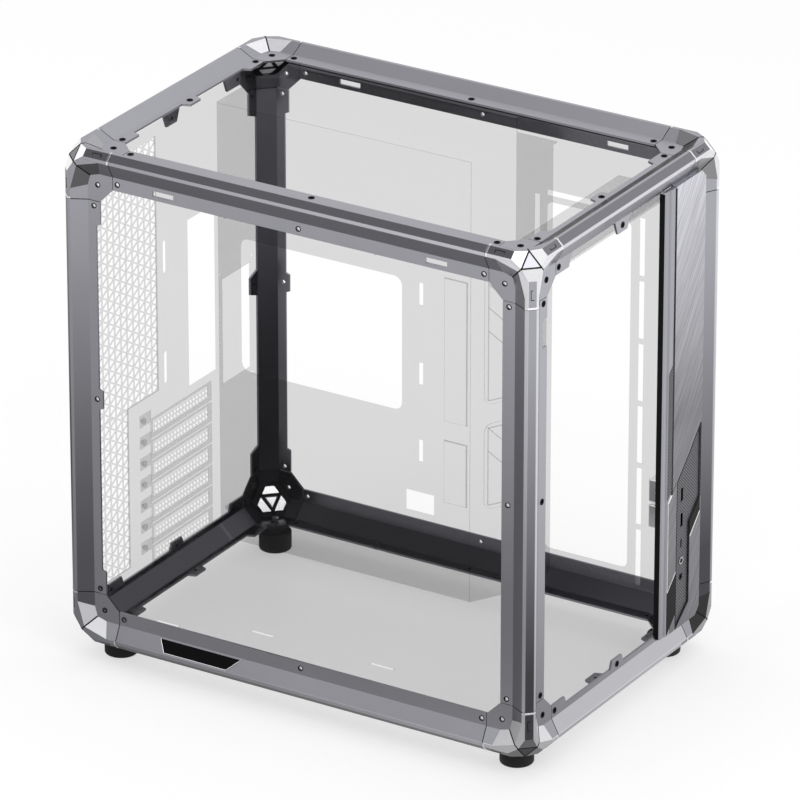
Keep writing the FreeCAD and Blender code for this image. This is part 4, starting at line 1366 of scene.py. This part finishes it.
@dataclass
class StripTrim:
    """Grooves, bright lines and plates on the front strip, among them a painted highlight and a painted
    shade on the bevel beside the inset, and the button's dark eye.
    """

    box: CaseBox
    depth: float = 3.0 * MM
    rise: float = 0.12 * MM
    thickness: float = 0.5 * MM
    groove: float = 1.3 * MM
    wide_groove: float = 1.82 * MM
    seam_width: float = 2.0 * MM
    line: float = 1.1 * MM
    wide_line: float = 1.54 * MM
    thin: float = 0.7 * MM
    plate_left: float = 234.7 * MM
    plate_right: float = 249.0 * MM
    plate_top: float = 149.0 * MM
    plate_bottom: float = 64.0 * MM
    foot: float = 23.5 * MM
    seam: float = 240.8 * MM
    top: float = 440.0 * MM
    hatch_left: float = 233.0 * MM
    hatch_top: float = 271.0 * MM
    hatch_bottom: float = 152.0 * MM
    inset_right: float = 272.0 * MM
    inset_edge: float = 289.9 * MM
    inset_low: float = 41.6 * MM
    inset_turn: float = 118.1 * MM
    inset_high: float = 136.0 * MM
    inset_top: float = 205.0 * MM
    inset_left: float = 250.0 * MM
    inset_peak: float = 163.0 * MM
    inset_shoulder: float = 185.0 * MM
    bevel_drop: float = 15.0 * MM
    rail_left: float = 223.3 * MM
    gasket_front: float = 4.4 * MM
    gasket_width: float = 5.0 * MM
    boot_front: float = 12.0 * MM
    boot_back: float = 33.0 * MM
    boot_grow: float = 2.6 * MM
    eye_radius: float = 2.1 * MM
    eye_sides: int = 32

    def point(self, across: float, up: float, layers: int = 0) -> Vector:
        """Point on the face of the strip.

        Args:
            across: Distance from the left plane.
            up: Distance above the bottom plane.
            layers: How many rises it lies in front of the face.

        Returns:
            The point.
        """
        return self.box.spot(across, self.depth - layers * self.rise, up)

    def run(self, width: float, layers: int, *path: Pair) -> Piece:
        """Model a line along a path on the strip.

        Args:
            width: Width of the line.
            layers: How many rises it lies in front of the face.
            path: Its points, each across and up.

        Returns:
            The line.
        """
        points = [self.point(across, up, layers) for across, up in path]
        return chain("strip_line", points, -Y, width, self.thickness)

    def slab(self, name: str, layers: int, left: float, right: float, bottom: float, top: float) -> Piece:
        """Model a plate whose upper and lower ends rise to the right at 45 degrees.

        Args:
            name: Name of the plate.
            layers: How many rises it lies in front of the face of the strip.
            left: Left side.
            right: Right side.
            bottom: Lower left corner.
            top: Upper left corner.

        Returns:
            The plate.
        """
        width, height = right - left, top - bottom + right - left
        centre = self.point((left + right) / 2, bottom + height / 2, layers) + self.thickness / 2 * Y
        piece = block(name, bpy.ops.mesh.primitive_cube_add, (width, self.thickness, height), centre)
        split(self.point(left, bottom), X - Z, cut=True, fill=True)
        split(self.point(left, top), Z - X, cut=True, fill=True)
        leave_outward()
        return piece

    def build(self, palette: Palette) -> None:
        """Model the lines and plates, then the boots and the button's eye."""
        seam_end = (self.seam, self.plate_top + self.seam - self.plate_left)
        peak = (self.inset_edge, self.inset_top)
        base = (self.inset_left, self.foot)
        grooves = [
            self.run(self.seam_width, 3, (self.seam, self.top), seam_end),
            self.run(
                self.groove,
                1,
                base,
                (self.inset_left, self.inset_peak),
                (self.inset_right, self.inset_shoulder),
                peak,
            ),
            self.run(
                self.wide_groove,
                1,
                peak,
                (self.inset_edge, self.inset_high),
                (self.inset_right, self.inset_turn),
                (self.inset_right, self.inset_low),
                base,
            ),
        ]
        palette.place(joined("strip_grooves", grooves), Slot.PLASTIC)
        edge = self.inset_edge - self.inset_right
        start = self.inset_turn - self.bevel_drop
        upper = (self.plate_left, self.plate_top)
        lower = (self.plate_left, self.plate_bottom)
        lower_end = (self.plate_right, self.plate_bottom + self.plate_right - self.plate_left)
        # Bright lines of cut metal; the first one is a painted highlight along the bevel beside the inset
        lines = [
            self.run(self.line, 2, (self.inset_right + self.line, start), (self.inset_edge, start + edge)),
            self.run(self.wide_line, 3, upper, seam_end),
            self.run(self.thin, 3, upper, lower),
            self.run(self.thin, 3, lower, lower_end),
        ]
        palette.place(joined("strip_bright_lines", lines), Slot.FACET)
        sides = (self.plate_left, self.plate_right)
        bright = self.slab("strip_lower_plate", 2, *sides, self.plate_bottom, self.plate_top)
        palette.place(bright, Slot.STRIP)
        dark = [
            self.slab("strip_slab", 2, *sides, self.foot, self.plate_bottom),
            # Painted shade: this dark slab beside the inset stands for the shaded face of its bevel
            self.slab("strip_slab", 1, self.inset_right, self.inset_edge, start, self.inset_turn),
            self.gasket(),
        ]
        palette.place(joined("strip_dark_plates", dark), Slot.PLASTIC)
        hatch = self.slab(
            "strip_hatched_band", 2, self.hatch_left, self.seam, self.hatch_bottom, self.hatch_top
        )
        palette.place(hatch, Slot.INSET)
        self.boots(palette)
        self.eye(palette)

    def gasket(self) -> Piece:
        """Model the dark gasket along the inner side of the rail.

        Returns:
            The gasket.
        """
        across, along = self.rail_left - self.rise, self.gasket_front + self.gasket_width / 2
        ends = [self.box.spot(across, along, up) for up in (self.foot, self.top)]
        return bar(ends[0], ends[1], -X, self.gasket_width, self.thickness)

    def boots(self, palette: Palette) -> None:
        """Model the metal boots over the backs of the two large sockets."""
        pieces = []
        for node in ("usb_socket_upper", "usb_socket_lower"):
            low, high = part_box(node)
            size = high - low + 2 * self.boot_grow * (X + Z)
            size.y = self.boot_back - self.boot_front
            centre = (low + high) / 2
            centre.y = self.box.low.y + (self.boot_front + self.boot_back) / 2
            pieces.append(block("socket_boot", bpy.ops.mesh.primitive_cube_add, size, centre))
            select(Element.EDGES, lambda line, at: True)
            bpy.ops.mesh.bevel(offset=self.boot_grow / 2, segments=2, affect="EDGES")
            leave()
        palette.place(joined("socket_boots", pieces), Slot.FACET)

    def eye(self, palette: Palette) -> None:
        """Model the dark dished eye of the power button."""
        low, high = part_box("power_button")
        centre = (low + high) / 2
        piece = begin(
            "power_button_eye",
            bpy.ops.mesh.primitive_cylinder_add,
            vertices=self.eye_sides,
            radius=self.eye_radius,
            depth=self.thickness,
            location=(centre.x, low.y + self.thickness / 2 - self.rise, centre.z),
            rotation=(math.pi / 2, 0.0, 0.0),
        )
        edit()
        select(Element.FACES, lambda face, at: face.normal.y < -ALONG)
        bpy.ops.mesh.inset(thickness=self.eye_radius / 4)
        bpy.ops.transform.translate(value=(0.0, self.rise / 2, 0.0))
        leave()
        palette.place(piece, Slot.PLASTIC, "power_button")


@dataclass
class PlateRim:
    """Thin bright rim round three sides of the nameplate."""

    box: CaseBox
    margin: float = 1.8 * MM
    front: float = 293.0 * MM
    rear: float = 375.0 * MM
    front_slant: float = 12.0 * MM
    rear_slant: float = 6.0 * MM
    rise: float = 0.9 * MM
    line: float = 0.7 * MM

    def build(self, palette: Palette) -> None:
        """Model the rim along the slanted ends and the lower side."""
        deep, ridge_end = self.box.recess, self.box.ridge_end
        slope_run = self.box.slope_end - ridge_end
        length = math.hypot(slope_run, deep)
        far = length - self.margin
        path = (
            (far, self.front),
            (self.margin, self.front + self.front_slant),
            (self.margin, self.rear - self.rear_slant),
            (far, self.rear),
        )
        outward = (deep * Z - slope_run * X).normalized()
        points = []
        for reach, along in path:
            share = reach / length
            foot = self.box.spot(share * deep, along, ridge_end + share * slope_run)
            points.append(foot + outward * self.rise)
        palette.place(chain("nameplate_rim", points, outward, self.line, self.line), Slot.FACET)


@dataclass
class WallPanes:
    """Ribbed clear panes in the two windows of the angled wall."""

    box: CaseBox
    start: Pair = (226.0 * MM, 197.0 * MM)
    end: Pair = (296.0 * MM, 157.0 * MM)
    margin: float = 14.0 * MM
    windows: tuple[Pair, ...] = ((196.0 * MM, 336.0 * MM), (96.0 * MM, 178.0 * MM))
    thickness: float = 0.5 * MM
    rib: float = 1.0 * MM
    border: float = 4.0 * MM
    spacing: float = 22.0 * MM
    corner: float = 8.0 * MM

    def build(self, palette: Palette) -> None:
        """Model a pane, its border and its ribs for each window."""
        origin = self.box.spot(*self.start, 0.0)
        run = self.box.spot(*self.end, 0.0) - origin
        heading = run.normalized()
        basis = Matrix((heading, heading.cross(Z), Z)).transposed().to_4x4()
        pieces = []
        for low, high in self.windows:
            pieces += self.pane(self.margin, run.length - self.margin, low, high)
        panes = joined("wall_panes", pieces)
        panes.data.transform(Matrix.Translation(origin) @ basis)
        palette.place(panes, Slot.SHEET)

    def pane(self, left: float, right: float, low: float, high: float) -> list[Piece]:
        """Model one pane in the plane of the wall.

        Args:
            left: Start along the wall.
            right: End along the wall.
            low: Lower side.
            high: Upper side.

        Returns:
            The pane, its border and its ribs.
        """
        sheet = block(
            "pane",
            bpy.ops.mesh.primitive_cube_add,
            (right - left, self.thickness, high - low),
            ((left + right) / 2, self.thickness, (low + high) / 2),
        )
        thin = self.thickness / 2
        select(Element.EDGES, lambda line, at: abs(line.verts[0].co.y - line.verts[1].co.y) > thin)
        bpy.ops.mesh.bevel(offset=self.corner, segments=4, affect="EDGES")
        leave()
        near, far = left + self.border, right - self.border
        base, top = low + self.border, high - self.border
        runs = [((near, base), (near, top)), ((far, base), (far, top))]
        runs += [((near, up), (far, up)) for up in (base, top)]
        runs += [((u, base), (u, top)) for u in ((2 * near + far) / 3, (near + 2 * far) / 3)]
        width = far - near
        up = top
        while up - width > base:
            runs.append(((near, up), (far, up - width)))
            up -= self.spacing
        pieces = [sheet]
        for run in runs:
            ends = [Vector((u, 2 * self.thickness, z)) for u, z in run]
            pieces.append(bar(ends[0], ends[1], Y, self.rib, self.thickness))
        return pieces


@dataclass
class FloorSheet:
    """Floor sheet with cut corners and three slits."""

    box: CaseBox
    node: str = "floor_panel"
    corner: float = 74.5 * MM
    slits: tuple[Pair, ...] = ((50.0 * MM, 387.0 * MM), (76.0 * MM, 305.5 * MM), (76.0 * MM, 183.5 * MM))
    slit_width: float = 4.6 * MM
    slit_length: float = 23.0 * MM

    def build(self, palette: Palette) -> None:
        """Cut the sheet from a plane."""
        low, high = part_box(self.node)
        size, centre = high - low, (low + high) / 2
        piece = block(
            "floor_sheet",
            bpy.ops.mesh.primitive_plane_add,
            (size.x, size.y, 1.0),
            (centre.x, centre.y, high.z),
        )
        for across, along in product((-1.0, 1.0), repeat=2):
            start = self.box.low.x if across < 0 else self.box.high.x
            edge = self.box.low.y if along < 0 else self.box.high.y
            split((start - across * self.corner, edge, 0.0), (across, along, 0.0), cut=True)
        for across, along in self.slits:
            for reach in (0.0, self.slit_width):
                split(self.box.spot(across + reach, 0.0, 0.0), X)
            for reach in (0.0, self.slit_length):
                split(self.box.spot(0.0, along + reach, 0.0), Y)
        select(Element.FACES, lambda face, at: self.in_slit(at))
        bpy.ops.mesh.delete(type="FACE")
        thicken(piece, size.z, -1.0)
        palette.place(piece, Slot.SHEET, replaced=[self.node])

    def in_slit(self, at: Vector) -> bool:
        """Whether a point lies in one of the slits."""
        across, along, _ = at - self.box.low
        return any(
            0 < across - left < self.slit_width and 0 < along - front < self.slit_length
            for left, front in self.slits
        )


@dataclass
class CablePans:
    """Flat pans behind the two cable openings of the tray."""

    margin: float = 3.5 * MM
    depth: float = 0.3 * MM
    corner: float = 4.0 * MM
    thickness: float = 0.5 * MM

    def build(self, palette: Palette) -> None:
        """Model a pan from a flat sheet for each channel."""
        for node in ("cable_channel_upper", "cable_channel_lower"):
            low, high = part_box(node)
            size, centre = high - low, (low + high) / 2
            piece = block(
                node + "_pan",
                bpy.ops.mesh.primitive_plane_add,
                (1.0, size.y - 2 * self.margin, size.z - 2 * self.margin),
                (low.x + self.thickness, centre.y, centre.z),
                rotation=(0.0, math.pi / 2, 0.0),
            )
            bpy.ops.mesh.inset(thickness=self.thickness)
            bpy.ops.mesh.bevel(offset=self.corner, segments=3, affect="VERTICES")
            extrude((self.depth, 0.0, 0.0))
            thicken_outward(piece, self.thickness, 0.0)
            palette.place(piece, Slot.SHEET, replaced=[node])


@dataclass
class Feet:
    """Round rubber feet with a neck and a bevelled sole."""

    sides: int = 48
    neck_radius: float = 9.0 * MM
    neck_height: float = 7.6 * MM
    bevel: float = 1.5 * MM
    groove: float = 0.8 * MM
    edge_angle: float = 1.0
    edge_share: float = 0.99

    def build(self, palette: Palette) -> None:
        """Model one foot for each CAD foot."""
        for end, side in product(("front", "rear"), ("left", "right")):
            node = "foot_%s_%s" % (end, side)
            low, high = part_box(node)
            radius = (high.x - low.x) / 2
            centre = (low + high) / 2
            pad_top = high.z - self.neck_height
            piece = begin(
                node + "_moulded",
                bpy.ops.mesh.primitive_cylinder_add,
                vertices=self.sides,
                radius=radius,
                depth=pad_top - low.z,
                location=(centre.x, centre.y, (low.z + pad_top) / 2),
            )
            edit()
            select(Element.FACES, lambda face, at: face.normal.z > ALONG)
            bpy.ops.mesh.inset(thickness=radius - self.neck_radius)
            extrude((0.0, 0.0, self.neck_height))
            select(Element.FACES, lambda face, at: face.normal.z < -ALONG)
            bpy.ops.mesh.inset(thickness=self.bevel * 2)
            extrude((0.0, 0.0, self.groove))
            select(
                Element.EDGES,
                lambda line, at: len(line.link_faces) == 2
                and line.calc_face_angle() > self.edge_angle
                and (line.verts[0].co - centre).xy.length > radius * self.edge_share,
            )
            bpy.ops.mesh.bevel(offset=self.bevel, segments=3, affect="EDGES")
            leave()
            bpy.ops.object.shade_smooth_by_angle(angle=SMOOTH_ANGLE)
            palette.place(piece, Slot.RUBBER, replaced=[node])


@dataclass(frozen=True)
class SoftBox:
    """A square lamp: its direction, distance and size, and its brightness as a share of white."""

    name: str
    heading: Triple
    distance: float
    size: float
    level: float


@dataclass
class Studio:
    """White sweep, soft boxes and the camera."""

    azimuth: float = math.radians(-58.31)
    elevation: float = math.radians(24.15)
    distance: float = 6.664
    aim: float = 0.250
    focal: float = 348.6
    shift_x: float = 0.00925
    shift_y: float = -0.0129
    sight: float = 100.0
    floor_size: float = 16.0
    floor_gap: float = 0.4 * MM
    paper: str = "#b4b4b4"
    glow: float = 0.58
    fill: float = 0.75
    # Painted shade of the floor, seen only in reflections: middle, reach, level in the middle and full level
    # of each dark pool
    pools: tuple[tuple[Triple, float, float, float], ...] = (
        ((-0.45, -0.05, 0.0), 0.9, 0.26, 1.1),
        ((0.05, 0.65, 0.0), 0.8, 0.05, 1.0),
        ((-0.85, 0.75, 0.0), 0.6, 0.45, 1.0),
    )
    # Surroundings in reflections: bright side, cosines to it and levels between them
    bright_side: Triple = (0.8, -0.5, 0.3)
    sky_range: Pair = (-0.55, 0.6)
    sky_levels: Pair = (0.12, 0.9)
    boxes: tuple[SoftBox, ...] = (
        SoftBox("key_box", (-0.40, -0.62, 0.72), 2.6, 1.3, 1.9),
        SoftBox("top_box", (0.27, -0.03, 0.96), 2.6, 1.2, 1.6),
        SoftBox("left_box", (-0.81, 0.36, 0.44), 2.8, 1.4, 0.95),
        SoftBox("rear_box", (0.05, 0.93, 0.36), 2.8, 1.2, 1.0),
    )

    def build(self) -> None:
        """Build floor, world, lamps and camera."""
        self.floor()
        self.world()
        self.lamps()
        self.camera()

    @staticmethod
    def by_ray(tree: Tree, plain: Any, mirrored: Any, shown: Any) -> Any:
        """Pick a shader by the kind of ray.

        Args:
            tree: Node tree to work in.
            plain: Shader for scattered light.
            mirrored: Shader in reflections.
            shown: Shader for the camera, also through a sheet.

        Returns:
            Output socket with the shader.
        """
        path = add_node(tree, "ShaderNodeLightPath").outputs
        seen = calc(tree, "MAXIMUM", path["Is Camera Ray"], path["Is Transmission Ray"])
        unseen = add_node(tree, "ShaderNodeMixShader", {0: path["Is Glossy Ray"], 1: plain, 2: mirrored})
        return add_node(tree, "ShaderNodeMixShader", {0: seen, 1: unseen.outputs[0], 2: shown}).outputs[0]

    def floor(self) -> None:
        """Add a pale floor that keeps the shadow and, in reflections, dark pools of painted shade."""
        place = (0.0, 0.0, -self.floor_gap)
        plane = begin("floor", bpy.ops.mesh.primitive_plane_add, size=self.floor_size, location=place)
        material = bpy.data.materials.new("white_paper_sweep")
        material.use_nodes = True
        tree = material.node_tree
        tree.nodes.clear()
        paper = add_node(tree, "ShaderNodeBsdfDiffuse", {"Color": linear(self.paper)}).outputs[0]
        lit = add_node(tree, "ShaderNodeEmission", {"Color": WHITE, "Strength": self.glow}).outputs[0]
        white = add_node(tree, "ShaderNodeAddShader", {0: paper, 1: lit}).outputs[0]
        level: Any = 1.0
        # Painted shade: the floor darkens near the case in reflections
        for centre, reach, low, high in self.pools:
            away = calc_vectors(tree, "DISTANCE", coordinates(tree, "Object"), centre)
            level = calc(tree, "MULTIPLY", level, spread(tree, away, (0.0, reach), (low, high)))
        mirrored = add_node(tree, "ShaderNodeEmission", {"Color": WHITE, "Strength": level}).outputs[0]
        surface = self.by_ray(tree, paper, mirrored, white)
        add_node(tree, "ShaderNodeOutputMaterial", {"Surface": surface})
        plane.data.materials.append(material)

    def world(self) -> None:
        """Add white surroundings that darken behind the case in reflections."""
        world = bpy.data.worlds.new("white_studio")
        bpy.context.scene.world = world
        world.use_nodes = True
        tree = world.node_tree
        tree.nodes.clear()
        bright = Vector(self.bright_side).normalized()
        cosine = calc_vectors(tree, "DOT_PRODUCT", coordinates(tree, "Generated"), bright)
        shade = spread(tree, cosine, self.sky_range, self.sky_levels, interpolation_type="SMOOTHSTEP")
        skies = [
            add_node(tree, "ShaderNodeBackground", {"Color": WHITE, "Strength": level}).outputs[0]
            for level in (self.fill, shade, 1.0)
        ]
        add_node(tree, "ShaderNodeOutputWorld", {"Surface": self.by_ray(tree, *skies)})

    def aimed(self, name: str, data: Any, heading: Vector, distance: float) -> Piece:
        """Add a lamp or a camera that looks at the case.

        Args:
            name: Name of the object.
            data: Its light or camera.
            heading: Direction from the case to it.
            distance: Its distance.

        Returns:
            The object.
        """
        thing = bpy.data.objects.new(name, data)
        thing.location = self.aim * Z + heading * distance
        thing.rotation_euler = (-heading).to_track_quat("-Z", "Y").to_euler()
        bpy.context.scene.collection.objects.link(thing)
        return thing

    def lamps(self) -> None:
        """Add the soft boxes."""
        for box in self.boxes:
            light = bpy.data.lights.new(box.name, "AREA")
            light.shape = "SQUARE"
            light.size = box.size
            light.energy = box.level * math.pi * box.size ** 2
            self.aimed(box.name, light, Vector(box.heading).normalized(), box.distance)

    def camera(self) -> None:
        """Add the camera at the viewing angle of the picture."""
        across = math.cos(self.elevation)
        back = Vector(
            (
                math.sin(self.azimuth) * across,
                -math.cos(self.azimuth) * across,
                math.sin(self.elevation),
            )
        )
        data = bpy.data.cameras.new("camera")
        data.lens = self.focal
        data.shift_x = self.shift_x
        data.shift_y = self.shift_y
        data.clip_end = self.sight
        bpy.context.scene.camera = self.aimed("camera", data, back, self.distance)


def dress_nodes(palette: Palette) -> None:
    """Give every CAD node the finish of its slot."""
    for subpart in frame["record"]["subparts"]:
        palette.dress(frame["nodes"][subpart["node"]], Slot(subpart["material_slot"]))


def main() -> None:
    """Build the looks of the case and its studio."""
    logging.basicConfig(level=logging.INFO, format="%(message)s")
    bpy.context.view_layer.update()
    bpy.context.scene.view_settings.view_transform = "Standard"
    palette = Palette()
    dress_nodes(palette)
    box = CaseBox()
    assemblies = (
        SeamShims(box),
        CornerBevels(box),
        CornerMarks(box),
        HoleInserts(box),
        VentMesh(box),
        SlotCovers(),
        StripTrim(box),
        PlateRim(box),
        WallPanes(box),
        FloorSheet(box),
        CablePans(),
        Feet(),
    )
    for assembly in assemblies:
        assembly.build(palette)
    Studio().build()


if __name__ == "__main__":
    main()
